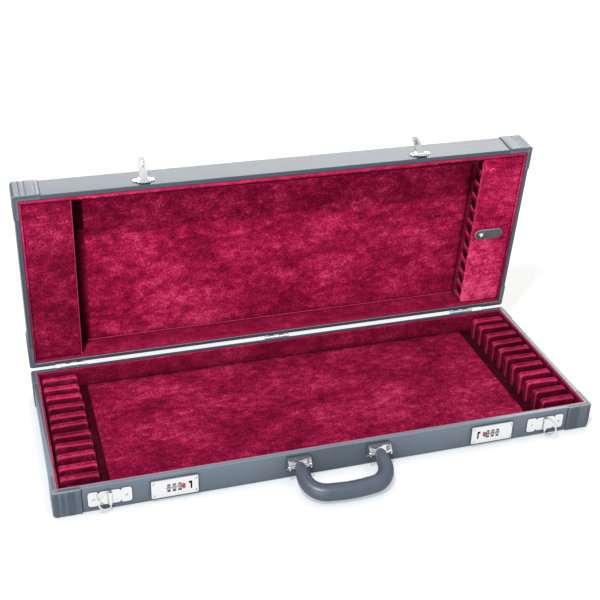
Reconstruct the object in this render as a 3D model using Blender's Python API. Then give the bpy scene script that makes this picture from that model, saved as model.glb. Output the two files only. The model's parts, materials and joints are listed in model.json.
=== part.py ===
"""A hard case for twelve bows: tray, upright lid, dividers, combination locks and carrying handle.

All lengths are metres. +X runs along the case to the right, +Z is up, and the front faces -Y.
The origin is the centre of the underside. The lid is drawn shut and then turned open about its pins.
"""

import math

import bmesh
import bpy
from mathutils import Matrix, Vector

# Case body
CASE_LENGTH = 0.800
CASE_DEPTH = 0.304
BASE_HEIGHT = 0.0420
LID_HEIGHT = 0.0447
WALL_THICKNESS = 0.007
BASE_PANEL = 0.0035
LID_PANEL = 0.0035
CORNER_RADIUS = 0.0025
PANEL_CORNER_RADIUS = 0.0075
PANEL_CORNER_FADE = 0.010
INNER_CORNER_RADIUS = 0.003
EDGE_ROUND = 0.0035
RIM_ROUND = 0.0008
PATCH_LEG = 0.038
PATCH_PROUD = 0.0012
RIM_GAP = 0.0006
SEAT_GAP = 0.0003

# Velvet linings and pads
BASE_LINING = 0.003
LID_LINING = 0.0055
LID_END_LINING = 0.003
LINING_DROP = 0.0006
LINING_ROUND = 0.0012
FLOOR_PAD_END_GAP = 0.0152
FLOOR_PAD_CHANNEL = 0.0115
FLOOR_PAD_THICKNESS = 0.0035
FLOOR_PAD_ROUND = 0.002

# Dividers that part the bows
DIVIDER_COUNT = 11
DIVIDER_LENGTH = 0.0535
DIVIDER_THICKNESS = 0.010
DIVIDER_END_GAP = 0.003
DIVIDER_DROP = 0.0006
DIVIDER_TOP_RADIUS = 0.0048
DIVIDER_ROUND = 0.0014

# Boxed ends of the lid
LID_BOX_LENGTH = 0.0690
PANEL_DROP = 0.0020
PANEL_THICKNESS = 0.004
PANEL_ROUND = 0.0016
COVER_CORNER_RADIUS = 0.005
BOX_WALL = 0.004
NOTCH_WIDTH = 0.016
NOTCH_DEPTH = 0.018
NOTCH_RADIUS = 0.005
TAB_LENGTH = 0.049
TAB_WIDTH = 0.018
TAB_THICKNESS = 0.0014
TAB_INSET = 0.0058
TAB_OFFSET = 0.0025
SNAP_RADIUS = 0.004
SNAP_HEIGHT = 0.0008
SNAP_CROWN = 0.0019
SNAP_INSET = 0.0105

# Back hinges
LID_ANGLE = math.radians(83.5)
HINGE_INSET = 0.071
HINGE_SHIFT = -0.0055
HINGE_SETBACK = 0.0035
HINGE_WIDTH = 0.042
HINGE_LEAF_HEIGHT = 0.020
HINGE_LEAF_THICKNESS = 0.0014
HINGE_WEB_HEIGHT = 0.009
HINGE_KNUCKLE_RADIUS = 0.0026
HINGE_KNUCKLES = 5
HINGE_PIN_RADIUS = 0.0013
PIN_CLEARANCE = 0.0003
KNUCKLE_GAP = 0.0004

# Combination locks on the base
LOCK_INSET = 0.163
LOCK_Z = 0.0212
LOCK_LENGTH = 0.0655
LOCK_HEIGHT = 0.0295
LOCK_PLATE = 0.0032
LOCK_CORNER = 0.002
LOCK_BEVEL = 0.0007
LOCK_BODY_OUTBOARD = 0.014
LOCK_BODY_INBOARD = 0.025
LOCK_BODY_HEIGHT = 0.0165
LOCK_BODY_DEPTH = 0.0069
WHEEL_COUNT = 3
WHEEL_OUTBOARD = 0.0009
WHEEL_PITCH = 0.00765
WHEEL_RADIUS = 0.0062
WHEEL_PROUD = 0.002
WHEEL_WIDTH = 0.0040
WHEEL_GROOVE = 0.0005
WHEEL_DIGITS = 10
WHEEL_CLEARANCE = 0.0003
ARBOR_RADIUS = 0.0014
ARBOR_LENGTH = 0.0206
BUTTON_INBOARD = 0.0121
BUTTON_WIDTH = 0.0044
BUTTON_HEIGHT = 0.0075
BUTTON_PROUD = 0.0021
BUTTON_LENGTH = 0.0085
SLOT_INBOARD = 0.0226
SLOT_WIDTH = 0.0025
SLOT_HEIGHT = 0.0130
SLOT_HEAD_WIDTH = 0.0048
SLOT_HEAD_HEIGHT = 0.0036

# Hasps on the lid
HASP_RISE = 0.0055
HASP_PROUD = 0.0032
HASP_LEAF_WIDTH = 0.0315
HASP_LEAF_LOW = 0.0065
HASP_LEAF_HIGH = 0.0215
HASP_LEAF_THICKNESS = 0.0012
HASP_KNUCKLE_RADIUS = 0.0026
HASP_PIN_RADIUS = 0.0011
HASP_EAR_WIDTH = 0.0016
HASP_WING_RADIUS = 0.0042
HASP_WING_TURN = math.radians(110)
TONGUE_WIDTH = 0.012
TONGUE_LENGTH = 0.041
TONGUE_STRAIGHT = 0.5
TONGUE_BLUNT = 0.97
TONGUE_THICKNESS = 0.0016
TONGUE_LIP = 0.0022
TONGUE_OPEN_LEFT = math.radians(141)
TONGUE_OPEN_RIGHT = math.radians(160)
STAPLE_WIDTH = 0.0019
STAPLE_HEIGHT = 0.0074
STAPLE_DEPTH = 0.0072
STAPLE_EYE = 0.0036

# Ring plates for the carrying strap
RING_PLATE_INSET = 0.075
RING_PLATE_Z = 0.0215
RING_PLATE_LENGTH = 0.0595
RING_PLATE_HEIGHT = 0.0240
RING_PLATE_THICKNESS = 0.0012
RING_LOBE_WIDTH = 0.0140
RING_LOBE_RADIUS = 0.0042
RING_WAIST_X = 0.0153
RING_WAIST_HEIGHT = 0.0170
RING_BODY_LENGTH = 0.0296
RING_BODY_HEIGHT = 0.0225
RING_BODY_RADIUS = 0.0036
RING_WIRE_RADIUS = 0.00115
RING_CLEARANCE = 0.0004
RING_Z = 0.0191
RING_HEIGHT = 0.0297
RING_ARM = 0.0042
RING_CORNER = 0.0018
RING_SWING_LEFT = math.radians(25)
RING_SWING_RIGHT = math.radians(57)
RING_LOOP_LOW = 0.0110
RING_LOOP_HIGH = 0.0313
RING_LOOP_THICKNESS = 0.00115

# Handle and its brackets
HANDLE_CENTER_X = -0.002
BRACKET_X = 0.0598
BRACKET_WIDTH = 0.033
BRACKET_TOP = 0.0370
BRACKET_BOTTOM = 0.0165
BRACKET_SHEET = 0.0018
BRACKET_FLANGE = 0.0085
BRACKET_EYE_RADIUS = 0.0048
HANDLE_PIVOT_Z = 0.0276
HANDLE_PIVOT_PROUD = 0.0115
HANDLE_PIN_RADIUS = 0.0021
HANDLE_REACH = 0.0513
HANDLE_CORNER = 0.030
HANDLE_BOW = 0.002
GRIP_RADIUS = 0.0125
ARM_RADIUS = 0.0098
ARM_END_RADIUS = 0.0066
ARM_CAP = 0.0052
ARM_NECK = 0.018
FLOOR_CLEARANCE = 0.0004

# Facet counts
CORNER_STEPS = 5
ROUND_STEPS = 3
BARREL_SIDES = 16
WIRE_SIDES = 8
GRIP_SIDES = 16

# Derived places
FRONT_Y = -CASE_DEPTH / 2
BACK_Y = CASE_DEPTH / 2
HINGE_Y = BACK_Y + HINGE_SETBACK
HINGE_Z = BASE_HEIGHT + RIM_GAP / 2
LID_RIM_Z = BASE_HEIGHT + RIM_GAP
LID_TOP_Z = LID_RIM_Z + LID_HEIGHT
BASE_FLOOR_Z = BASE_PANEL + SEAT_GAP + BASE_LINING
LID_FLOOR_Z = LID_TOP_Z - LID_PANEL - SEAT_GAP - BASE_LINING
CAVITY_X = CASE_LENGTH / 2 - WALL_THICKNESS
CAVITY_Y = CASE_DEPTH / 2 - WALL_THICKNESS
TRAY_X = CAVITY_X - SEAT_GAP - BASE_LINING
TRAY_Y = CAVITY_Y - SEAT_GAP - BASE_LINING
DIVIDER_SPACE = (2 * TRAY_Y - DIVIDER_COUNT * DIVIDER_THICKNESS) / (DIVIDER_COUNT + 1)
DIVIDER_PITCH = DIVIDER_SPACE + DIVIDER_THICKNESS
DIVIDER_OUTER_X = TRAY_X - DIVIDER_END_GAP
FLOOR_PAD_X = DIVIDER_OUTER_X - DIVIDER_LENGTH - FLOOR_PAD_END_GAP
FLOOR_PAD_Y = TRAY_Y - FLOOR_PAD_CHANNEL
HINGE_X = CASE_LENGTH / 2 - HINGE_INSET
LOCK_X = CASE_LENGTH / 2 - LOCK_INSET
RING_PLATE_X = CASE_LENGTH / 2 - RING_PLATE_INSET
LID_INNER_X = CAVITY_X - SEAT_GAP - LID_END_LINING
LID_INNER_Y = CAVITY_Y - SEAT_GAP - LID_LINING
LOCK_FACE_Y = FRONT_Y - SEAT_GAP - LOCK_PLATE
WHEEL_AXIS_Y = LOCK_FACE_Y - WHEEL_PROUD + WHEEL_RADIUS
HASP_AXIS_Y = FRONT_Y - HASP_PROUD
HASP_AXIS_Z = LID_RIM_Z + HASP_RISE
RING_AXIS_Y = FRONT_Y - SEAT_GAP - RING_PLATE_THICKNESS - RING_CLEARANCE - RING_WIRE_RADIUS
HANDLE_AXIS_Y = FRONT_Y - HANDLE_PIVOT_PROUD
HANDLE_DROP = HANDLE_PIVOT_Z - GRIP_RADIUS - FLOOR_CLEARANCE
HANDLE_SLOPE = math.asin(HANDLE_DROP / (HANDLE_REACH + HANDLE_BOW))
COVER_AXIS_X = LID_INNER_X - SEAT_GAP - PANEL_THICKNESS / 2


def clear_scene():
    for old in list(bpy.data.objects):
        bpy.data.objects.remove(old, do_unlink=True)


def make_material(name, color, roughness, metallic=0.0):
    """A plain Principled finish."""
    material = bpy.data.materials.new(name)
    material.use_nodes = True
    shader = material.node_tree.nodes["Principled BSDF"]
    shader.inputs["Base Color"].default_value = (*color, 1.0)
    shader.inputs["Roughness"].default_value = roughness
    shader.inputs["Metallic"].default_value = metallic
    return material


def add_object(name, bm, material, smooth_angle=35):
    """Turn a bmesh into an object with outward faces and soft shading under the given angle."""
    bmesh.ops.recalc_face_normals(bm, faces=bm.faces)
    mesh = bpy.data.meshes.new(name)
    bm.to_mesh(mesh)
    bm.free()
    mesh.shade_smooth()
    mesh.set_sharp_from_angle(angle=math.radians(smooth_angle))
    obj = bpy.data.objects.new(name, mesh)
    bpy.context.scene.collection.objects.link(obj)
    obj.data.materials.append(material)
    return obj


def boolean(target, tool, operation):
    """Cut or join a tool into the target and drop the tool."""
    modifier = target.modifiers.new(operation.lower(), "BOOLEAN")
    modifier.operation = operation
    modifier.solver = "EXACT"
    modifier.object = tool
    bpy.context.view_layer.update()
    evaluated = target.evaluated_get(bpy.context.evaluated_depsgraph_get())
    mesh = bpy.data.meshes.new_from_object(evaluated)
    target.modifiers.clear()
    target.data = mesh
    bpy.data.objects.remove(tool, do_unlink=True)
    return target


def loft(rings, closed=False):
    """Skin equal-count rings of points; the end rings are filled unless the loft closes on itself."""
    bm = bmesh.new()
    loops = [[bm.verts.new(point) for point in ring] for ring in rings]
    pairs = list(zip(loops[:-1], loops[1:]))
    if closed:
        pairs.append((loops[-1], loops[0]))
    else:
        bm.faces.new(loops[0])
        bm.faces.new(loops[-1])
    for low, high in pairs:
        count = len(low)
        for i in range(count):
            j = (i + 1) % count
            bm.faces.new((low[i], low[j], high[j], high[i]))
    return bm


def prism(points, low, high, axis):
    """Extrude a flat outline along an axis; the outline's pair fills the other two axes in order."""
    place = {
        "X": lambda a, b, t: (t, a, b),
        "Y": lambda a, b, t: (a, t, b),
        "Z": lambda a, b, t: (a, b, t),
    }[axis]
    return loft([[place(a, b, t) for a, b in points] for t in (low, high)])


def block(low, high):
    """A rectangular solid between two corners."""
    points = [(low[0], low[1]), (high[0], low[1]), (high[0], high[1]), (low[0], high[1])]
    return prism(points, low[2], high[2], "Z")


def barrel(radius, low, high, center, sides=BARREL_SIDES):
    """A cylinder along X."""
    points = arc(center, radius, 0, 2 * math.pi, sides)[:-1]
    return prism(points, low, high, "X")


def arc(center, radius, start, end, steps):
    """Points along an arc in a plane, both ends included."""
    angles = [start + (end - start) * i / steps for i in range(steps + 1)]
    return [(center[0] + radius * math.cos(a), center[1] + radius * math.sin(a)) for a in angles]


def rounded_rectangle(half_x, half_y, radius, steps=CORNER_STEPS, leg=None, proud=0.0):
    """Counter-clockwise outline; with a leg, a band of that length round each corner stands proud."""
    points = []
    for sign_x, sign_y, turn in ((1, 1, 0), (-1, 1, 1), (-1, -1, 2), (1, -1, 3)):
        start = turn * math.pi / 2
        before = Vector((-math.sin(start), math.cos(start)))
        after = Vector((-math.cos(start), -math.sin(start)))
        outward = -after
        corner = Vector((sign_x * half_x, sign_y * half_y))
        center = (sign_x * (half_x - radius), sign_y * (half_y - radius))
        if leg:
            points.append(tuple(corner - before * leg))
            points.append(tuple(corner - before * (leg - PATCH_PROUD) + outward * proud))
        points.extend(arc(center, radius + proud, start, start + math.pi / 2, steps))
        if leg:
            points.append(tuple(corner + after * (leg - PATCH_PROUD) + before * proud))
            points.append(tuple(corner + after * leg))
    return points


def quarter(radius, steps=ROUND_STEPS):
    """Inset and rise pairs along a rounded edge, from the flat face to the side."""
    angles = [math.pi / 2 * i / steps for i in range(steps + 1)]
    return [(radius * (1 - math.sin(a)), radius * (1 - math.cos(a))) for a in angles]


def tray_rings(half_x, half_y, radius, shut_z, open_z, walls, panel, edge, rim, patch=False):
    """Rings of an open box, from its closed face round the rim to its inner floor."""
    rise = 1 if open_z > shut_z else -1
    wall_x, wall_y = walls
    rings = []

    def outer(inset, z, corner):
        leg = PATCH_LEG - inset if patch else None
        proud = PATCH_PROUD if patch else 0.0
        outline = rounded_rectangle(half_x - inset, half_y - inset, max(corner - inset, 0.0005),
                                    leg=leg, proud=proud)
        rings.append([(x, y, z) for x, y in outline])

    def inner(widen, z):
        leg = PATCH_LEG - wall_x if patch else None
        outline = rounded_rectangle(half_x - wall_x + widen, half_y - wall_y + widen,
                                    INNER_CORNER_RADIUS + widen, leg=leg)
        rings.append([(x, y, z) for x, y in outline])

    for inset, height in quarter(edge):
        outer(inset, shut_z + rise * height, PANEL_CORNER_RADIUS if patch else radius)
    if patch:
        outer(0.0, shut_z + rise * PANEL_CORNER_FADE, radius)
    for inset, height in reversed(quarter(rim)):
        outer(inset, open_z - rise * height, radius)
    for widen, height in quarter(rim / 2, 2):
        inner(rim / 2 - widen, open_z - rise * height)
    inner(0.0, shut_z + rise * panel)
    return rings


def slab_rings(outline, low, high, round_low, round_high, axis):
    """Rings of a plate whose rims are rounded; outline(inset) gives the flat shape."""
    place = {
        "X": lambda a, b, t: (t, a, b),
        "Y": lambda a, b, t: (a, t, b),
        "Z": lambda a, b, t: (a, b, t),
    }[axis]
    rings = []
    if round_low:
        for inset, height in quarter(round_low, 2):
            rings.append([place(a, b, low + height) for a, b in outline(inset)])
    else:
        rings.append([place(a, b, low) for a, b in outline(0.0)])
    if round_high:
        for inset, height in reversed(quarter(round_high, 2)):
            rings.append([place(a, b, high - height) for a, b in outline(inset)])
    else:
        rings.append([place(a, b, high) for a, b in outline(0.0)])
    return rings


def moved(points, offset):
    return [(a + offset[0], b + offset[1]) for a, b in points]


def put_on(obj, parent, pivot=(0.0, 0.0, 0.0)):
    """Hang an object drawn in shut-case coordinates on an empty that stands at the pivot."""
    obj.parent = parent
    obj.location = -Vector(pivot)
    return obj


def add_pivot(name, location, parent=None, parent_pivot=(0.0, 0.0, 0.0), turn=(0.0, 0.0, 0.0)):
    empty = bpy.data.objects.new(name, None)
    bpy.context.scene.collection.objects.link(empty)
    empty.parent = parent
    empty.location = Vector(location) - Vector(parent_pivot)
    empty.rotation_euler = turn
    return empty


def finishes():
    return {
        "leatherette": make_material("slate_leatherette", (0.13, 0.17, 0.21), 0.55),
        "velvet": make_material("wine_velvet", (0.42, 0.01, 0.06), 0.9),
        "chrome": make_material("bright_chrome", (0.85, 0.86, 0.88), 0.16, 1.0),
        "enamel": make_material("red_button", (0.55, 0.03, 0.06), 0.35),
        "strap": make_material("grey_strap", (0.11, 0.14, 0.15), 0.5),
    }


def base_parts(finish):
    """Covered box of the base with pockets for the locks, its lining and its floor pad."""
    shell = add_object("base_shell", loft(tray_rings(
        CASE_LENGTH / 2, CASE_DEPTH / 2, CORNER_RADIUS, 0.0, BASE_HEIGHT,
        (WALL_THICKNESS, WALL_THICKNESS), BASE_PANEL, EDGE_ROUND, RIM_ROUND, patch=True)),
        finish["leatherette"])
    for side in (-1, 1):
        ends = sorted((side * (LOCK_X + LOCK_BODY_OUTBOARD + SEAT_GAP),
                       side * (LOCK_X - LOCK_BODY_INBOARD - SEAT_GAP)))
        half_height = LOCK_BODY_HEIGHT / 2 + SEAT_GAP
        tool = add_object("pocket", block(
            (ends[0], FRONT_Y - EDGE_ROUND, LOCK_Z - half_height),
            (ends[1], FRONT_Y + WALL_THICKNESS + EDGE_ROUND, LOCK_Z + half_height)),
            finish["leatherette"])
        boolean(shell, tool, "DIFFERENCE")
    lining = add_object("base_lining", loft(tray_rings(
        CAVITY_X - SEAT_GAP, CAVITY_Y - SEAT_GAP, INNER_CORNER_RADIUS,
        BASE_PANEL + SEAT_GAP, BASE_HEIGHT - LINING_DROP, (BASE_LINING, BASE_LINING), BASE_LINING,
        RIM_ROUND / 2, LINING_ROUND)), finish["velvet"])
    pad_low = BASE_FLOOR_Z + SEAT_GAP

    def pad_outline(inset):
        return rounded_rectangle(FLOOR_PAD_X - inset, FLOOR_PAD_Y - inset, INNER_CORNER_RADIUS)

    pad = add_object("base_floor_pad", loft(slab_rings(
        pad_outline, pad_low, pad_low + FLOOR_PAD_THICKNESS, 0.0, FLOOR_PAD_ROUND, "Z")),
        finish["velvet"])
    return [shell, lining, pad]


def divider_mesh(finish, name, x_low, x_high, y):
    """One padded board that stands on the tray floor between two bows."""
    low = BASE_FLOOR_Z + SEAT_GAP
    high = BASE_HEIGHT - DIVIDER_DROP

    def outline(inset):
        left = x_low + inset
        right = x_high - inset
        top = high - inset
        radius = DIVIDER_TOP_RADIUS - inset
        points = [(left, low), (right, low)]
        points.extend(arc((right - radius, top - radius), radius, 0, math.pi / 2, 4))
        points.extend(arc((left + radius, top - radius), radius, math.pi / 2, math.pi, 4))
        return points

    rings = slab_rings(outline, y - DIVIDER_THICKNESS / 2, y + DIVIDER_THICKNESS / 2,
                       DIVIDER_ROUND, DIVIDER_ROUND, "Y")
    return add_object(name, loft(rings), finish["velvet"], 60)


def divider_parts(finish):
    boards = []
    for word, side in (("left", -1), ("right", 1)):
        ends = sorted((side * DIVIDER_OUTER_X, side * (DIVIDER_OUTER_X - DIVIDER_LENGTH)))
        for number in range(DIVIDER_COUNT):
            y = (number - (DIVIDER_COUNT - 1) / 2) * DIVIDER_PITCH
            name = f"divider_{word}_{number + 1:02d}"
            boards.append(divider_mesh(finish, name, ends[0], ends[1], y))
    return boards


def lid_parts(finish):
    """Covered box of the lid, its lining and the closed box at its left end."""
    shell = add_object("lid_shell", loft(tray_rings(
        CASE_LENGTH / 2, CASE_DEPTH / 2, CORNER_RADIUS, LID_TOP_Z, LID_RIM_Z,
        (WALL_THICKNESS, WALL_THICKNESS), LID_PANEL, EDGE_ROUND, RIM_ROUND, patch=True)),
        finish["leatherette"])
    lining = add_object("lid_lining", loft(tray_rings(
        CAVITY_X - SEAT_GAP, CAVITY_Y - SEAT_GAP, INNER_CORNER_RADIUS,
        LID_TOP_Z - LID_PANEL - SEAT_GAP, LID_RIM_Z + LINING_DROP,
        (LID_END_LINING, LID_LINING), BASE_LINING, RIM_ROUND / 2, LINING_ROUND)), finish["velvet"])
    center_x = -(LID_INNER_X - SEAT_GAP - LID_BOX_LENGTH / 2)
    rings = tray_rings(
        LID_BOX_LENGTH / 2, LID_INNER_Y - SEAT_GAP, INNER_CORNER_RADIUS,
        LID_RIM_Z + PANEL_DROP, LID_FLOOR_Z - SEAT_GAP,
        (BOX_WALL, BOX_WALL), PANEL_THICKNESS, PANEL_ROUND, RIM_ROUND / 2)
    rings = [[(x + center_x, y, z) for x, y, z in ring] for ring in rings]
    box = add_object("lid_end_box", loft(rings), finish["velvet"])
    return [shell, lining, box]


def notched_wall(finish):
    """Inner wall of the accessory box, with a notch in its free edge opposite each divider."""
    free_z = LID_RIM_Z + PANEL_DROP + PANEL_THICKNESS + SEAT_GAP
    fixed_z = LID_FLOOR_Z - SEAT_GAP
    half_y = LID_INNER_Y - SEAT_GAP
    points = [(-half_y, fixed_z), (-half_y, free_z)]
    for number in range(DIVIDER_COUNT):
        y = (number - (DIVIDER_COUNT - 1) / 2) * DIVIDER_PITCH
        left = y - NOTCH_WIDTH / 2
        right = y + NOTCH_WIDTH / 2
        bend = free_z + NOTCH_DEPTH - NOTCH_RADIUS
        points.append((left, free_z))
        points.extend(arc((left + NOTCH_RADIUS, bend), NOTCH_RADIUS, math.pi, math.pi / 2, 3))
        points.extend(arc((right - NOTCH_RADIUS, bend), NOTCH_RADIUS, math.pi / 2, 0, 3))
        points.append((right, free_z))
    points.extend([(half_y, free_z), (half_y, fixed_z)])
    inner_x = LID_INNER_X - SEAT_GAP - LID_BOX_LENGTH
    return add_object("compartment_wall", prism(points, inner_x, inner_x + BOX_WALL, "X"),
                      finish["velvet"])


def cover_parts(finish):
    """Padded cover of the accessory box, with its leather pull tab and snap."""
    low_x = LID_INNER_X - SEAT_GAP - LID_BOX_LENGTH
    high_x = LID_INNER_X - SEAT_GAP
    half_y = LID_INNER_Y - SEAT_GAP
    face_z = LID_RIM_Z + PANEL_DROP

    def cover_outline(inset):
        points = rounded_rectangle((high_x - low_x) / 2 - inset, half_y - inset,
                                   COVER_CORNER_RADIUS - inset, 2)
        return moved(points, ((high_x + low_x) / 2, 0.0))

    cover = add_object("compartment_cover", loft(slab_rings(
        cover_outline, face_z, face_z + PANEL_THICKNESS, PANEL_ROUND, PANEL_ROUND, "Z")),
        finish["velvet"])
    tab_low = low_x + TAB_INSET

    def tab_outline(inset):
        points = rounded_rectangle(TAB_LENGTH / 2 - inset, TAB_WIDTH / 2 - inset,
                                   TAB_WIDTH / 2 - inset, 6)
        return moved(points, (tab_low + TAB_LENGTH / 2, TAB_OFFSET))

    tab_high_z = face_z - SEAT_GAP
    tab_low_z = tab_high_z - TAB_THICKNESS
    tab = add_object("pull_tab", loft(slab_rings(
        tab_outline, tab_low_z, tab_high_z, TAB_THICKNESS / 3, 0.0, "Z")), finish["strap"])
    snap_low_z = tab_low_z - SEAT_GAP - SNAP_HEIGHT
    center = (tab_low + SNAP_INSET, TAB_OFFSET)
    rings = []
    profile = ((SNAP_CROWN, 0.0), (SNAP_CROWN * 0.4, SNAP_HEIGHT * 0.3), (0.0, SNAP_HEIGHT * 0.75),
               (0.0, SNAP_HEIGHT))
    for inset, rise in profile:
        ring = arc(center, SNAP_RADIUS - inset, 0, 2 * math.pi, BARREL_SIDES)[:-1]
        rings.append([(x, y, snap_low_z + rise) for x, y in ring])
    snap = add_object("tab_snap", loft(rings), finish["chrome"])
    return [cover, tab, snap]


def knuckle_outline(center, radius, plate_y, plate_thickness, root_z, outward):
    """Outline of a rolled knuckle and the web that joins it to its plate, in the YZ plane."""
    up = 1 if root_z > center[1] else -1
    near = (plate_y, root_z)
    far = (plate_y + outward * plate_thickness, root_z)
    start = -math.pi / 3 * -up if outward > 0 else math.pi - math.pi / 3 * up
    sweep = -4 * math.pi / 3 * up * outward
    curl = arc(center, radius, start, start + sweep, 8)
    return [near, far] + curl


def hinge_parts(finish, word, x):
    """A rolled steel butt hinge: the lower leaf keeps the pin, the upper leaf turns on it."""
    center = (HINGE_Y, HINGE_Z)
    plate_y = BACK_Y + SEAT_GAP
    segment = HINGE_WIDTH / HINGE_KNUCKLES
    leaves = []
    for level, sign in (("lower", -1), ("upper", 1)):
        near_z = HINGE_Z + sign * HINGE_WEB_HEIGHT * 0.8
        far_z = HINGE_Z + sign * (HINGE_WEB_HEIGHT + HINGE_LEAF_HEIGHT)
        leaf = add_object(f"hinge_{word}_{level}", block(
            (x - HINGE_WIDTH / 2, plate_y, min(near_z, far_z)),
            (x + HINGE_WIDTH / 2, plate_y + HINGE_LEAF_THICKNESS, max(near_z, far_z))),
            finish["chrome"])
        outline = knuckle_outline(center, HINGE_KNUCKLE_RADIUS, plate_y, HINGE_LEAF_THICKNESS,
                                  HINGE_Z + sign * HINGE_WEB_HEIGHT, 1)
        first = 0 if sign < 0 else 1
        for number in range(first, HINGE_KNUCKLES, 2):
            low = x - HINGE_WIDTH / 2 + number * segment + KNUCKLE_GAP / 2
            knuckle = add_object("knuckle", prism(outline, low, low + segment - KNUCKLE_GAP, "X"),
                                 finish["chrome"])
            boolean(leaf, knuckle, "UNION")
        if sign < 0:
            reach = HINGE_WIDTH / 2 - segment / 2
            pin = add_object("pin", barrel(HINGE_PIN_RADIUS, x - reach, x + reach, center),
                             finish["chrome"])
            boolean(leaf, pin, "UNION")
        else:
            reach = HINGE_WIDTH / 2
            bore = add_object("bore", barrel(HINGE_PIN_RADIUS + PIN_CLEARANCE, x - reach, x + reach,
                                             center), finish["chrome"])
            boolean(leaf, bore, "DIFFERENCE")
        leaves.append(leaf)
    return leaves


def stadium(half_width, half_height, steps=4):
    """Upright slot shape with round ends."""
    rise = half_height - half_width
    return (arc((0.0, rise), half_width, 0, math.pi, steps)
            + arc((0.0, -rise), half_width, math.pi, 2 * math.pi, steps))


def staple_slot(side):
    """Keyhole for the staple: an upright stem with a head that reaches toward the button."""
    half = SLOT_WIDTH / 2
    top = SLOT_HEIGHT / 2
    stem = arc((0.0, half - top), half, math.pi, 2 * math.pi, 4)
    head = [(half, top - SLOT_HEAD_HEIGHT), (SLOT_HEAD_WIDTH - half, top - SLOT_HEAD_HEIGHT),
            (SLOT_HEAD_WIDTH - half, top), (-half, top)]
    return [(side * (LOCK_X - SLOT_INBOARD + out), LOCK_Z + z) for out, z in stem + head]


def wheel_place(side, number):
    """Where a number wheel stands along the case."""
    return side * (LOCK_X + WHEEL_OUTBOARD) + (number - (WHEEL_COUNT - 1) / 2) * WHEEL_PITCH


def lock_case(finish, word, side):
    """Lock plate and body with three wheel windows, a button hole, a staple slot and the arbor."""

    def plate_outline(inset):
        points = rounded_rectangle(LOCK_LENGTH / 2 - inset, LOCK_HEIGHT / 2 - inset, LOCK_CORNER, 3)
        return moved(points, (side * LOCK_X, LOCK_Z))

    back_y = FRONT_Y - SEAT_GAP
    case = add_object(f"lock_{word}_case", loft(slab_rings(
        plate_outline, LOCK_FACE_Y, back_y, LOCK_BEVEL, 0.0, "Y")), finish["chrome"])
    ends = sorted((side * (LOCK_X + LOCK_BODY_OUTBOARD), side * (LOCK_X - LOCK_BODY_INBOARD)))
    body = add_object("body", block(
        (ends[0], back_y - LOCK_PLATE / 2, LOCK_Z - LOCK_BODY_HEIGHT / 2),
        (ends[1], back_y + LOCK_BODY_DEPTH, LOCK_Z + LOCK_BODY_HEIGHT / 2)), finish["chrome"])
    boolean(case, body, "UNION")
    cut_low = LOCK_FACE_Y - LOCK_PLATE
    cut_high = back_y + LOCK_BODY_DEPTH + LOCK_PLATE
    half_wide = WHEEL_WIDTH / 2 + WHEEL_CLEARANCE
    half_high = WHEEL_RADIUS + WHEEL_CLEARANCE
    for number in range(WHEEL_COUNT):
        x = wheel_place(side, number)
        window = add_object("window", block((x - half_wide, cut_low, LOCK_Z - half_high),
                                            (x + half_wide, cut_high, LOCK_Z + half_high)),
                            finish["chrome"])
        boolean(case, window, "DIFFERENCE")
    hole = stadium(BUTTON_WIDTH / 2 + WHEEL_CLEARANCE, BUTTON_HEIGHT / 2 + WHEEL_CLEARANCE)
    hole = moved(hole, (side * (LOCK_X - BUTTON_INBOARD), LOCK_Z))
    for outline in (hole, staple_slot(side)):
        tool = add_object("hole", prism(outline, cut_low, cut_high, "Y"), finish["chrome"])
        boolean(case, tool, "DIFFERENCE")
    middle = wheel_place(side, (WHEEL_COUNT - 1) / 2)
    arbor = add_object("arbor", barrel(ARBOR_RADIUS, middle - ARBOR_LENGTH / 2,
                                       middle + ARBOR_LENGTH / 2, (WHEEL_AXIS_Y, LOCK_Z), 12),
                       finish["chrome"])
    return boolean(case, arbor, "UNION")


def number_wheel(finish, name):
    """Ten-sided wheel with a groove between the numbers, drawn about its own axis."""
    step = 2 * math.pi / WHEEL_DIGITS

    def rim(inset):
        points = []
        for digit in range(WHEEL_DIGITS):
            for share, radius in ((-0.5, WHEEL_RADIUS - WHEEL_GROOVE), (-0.34, WHEEL_RADIUS),
                                  (0.34, WHEEL_RADIUS)):
                angle = (digit + share) * step
                points.append(((radius - inset) * math.cos(angle), (radius - inset) * math.sin(angle)))
        return points

    bore_radius = ARBOR_RADIUS + WHEEL_CLEARANCE
    bore = [tuple(Vector(point).normalized() * bore_radius) for point in rim(0.0)]
    half = WHEEL_WIDTH / 2
    profile = ((-half, rim(WHEEL_GROOVE)), (-half + WHEEL_GROOVE, rim(0.0)),
               (half - WHEEL_GROOVE, rim(0.0)), (half, rim(WHEEL_GROOVE)), (half, bore), (-half, bore))
    rings = [[(x, y, z) for y, z in points] for x, points in profile]
    return add_object(name, loft(rings, closed=True), finish["chrome"], 20)


def lock_parts(finish, word, side):
    case = lock_case(finish, word, side)
    parts = [case]
    for number in range(WHEEL_COUNT):
        wheel = number_wheel(finish, f"lock_{word}_wheel_{number + 1}")
        wheel.location = (wheel_place(side, number), WHEEL_AXIS_Y, LOCK_Z)
        parts.append(wheel)
    face_y = LOCK_FACE_Y - BUTTON_PROUD

    def button_outline(inset):
        return moved(stadium(BUTTON_WIDTH / 2 - inset, BUTTON_HEIGHT / 2 - inset),
                     (side * (LOCK_X - BUTTON_INBOARD), LOCK_Z))

    button = add_object(f"lock_{word}_button", loft(slab_rings(
        button_outline, face_y, face_y + BUTTON_LENGTH, BUTTON_WIDTH / 5, 0.0, "Y")), finish["enamel"])
    parts.append(button)
    return parts


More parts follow.
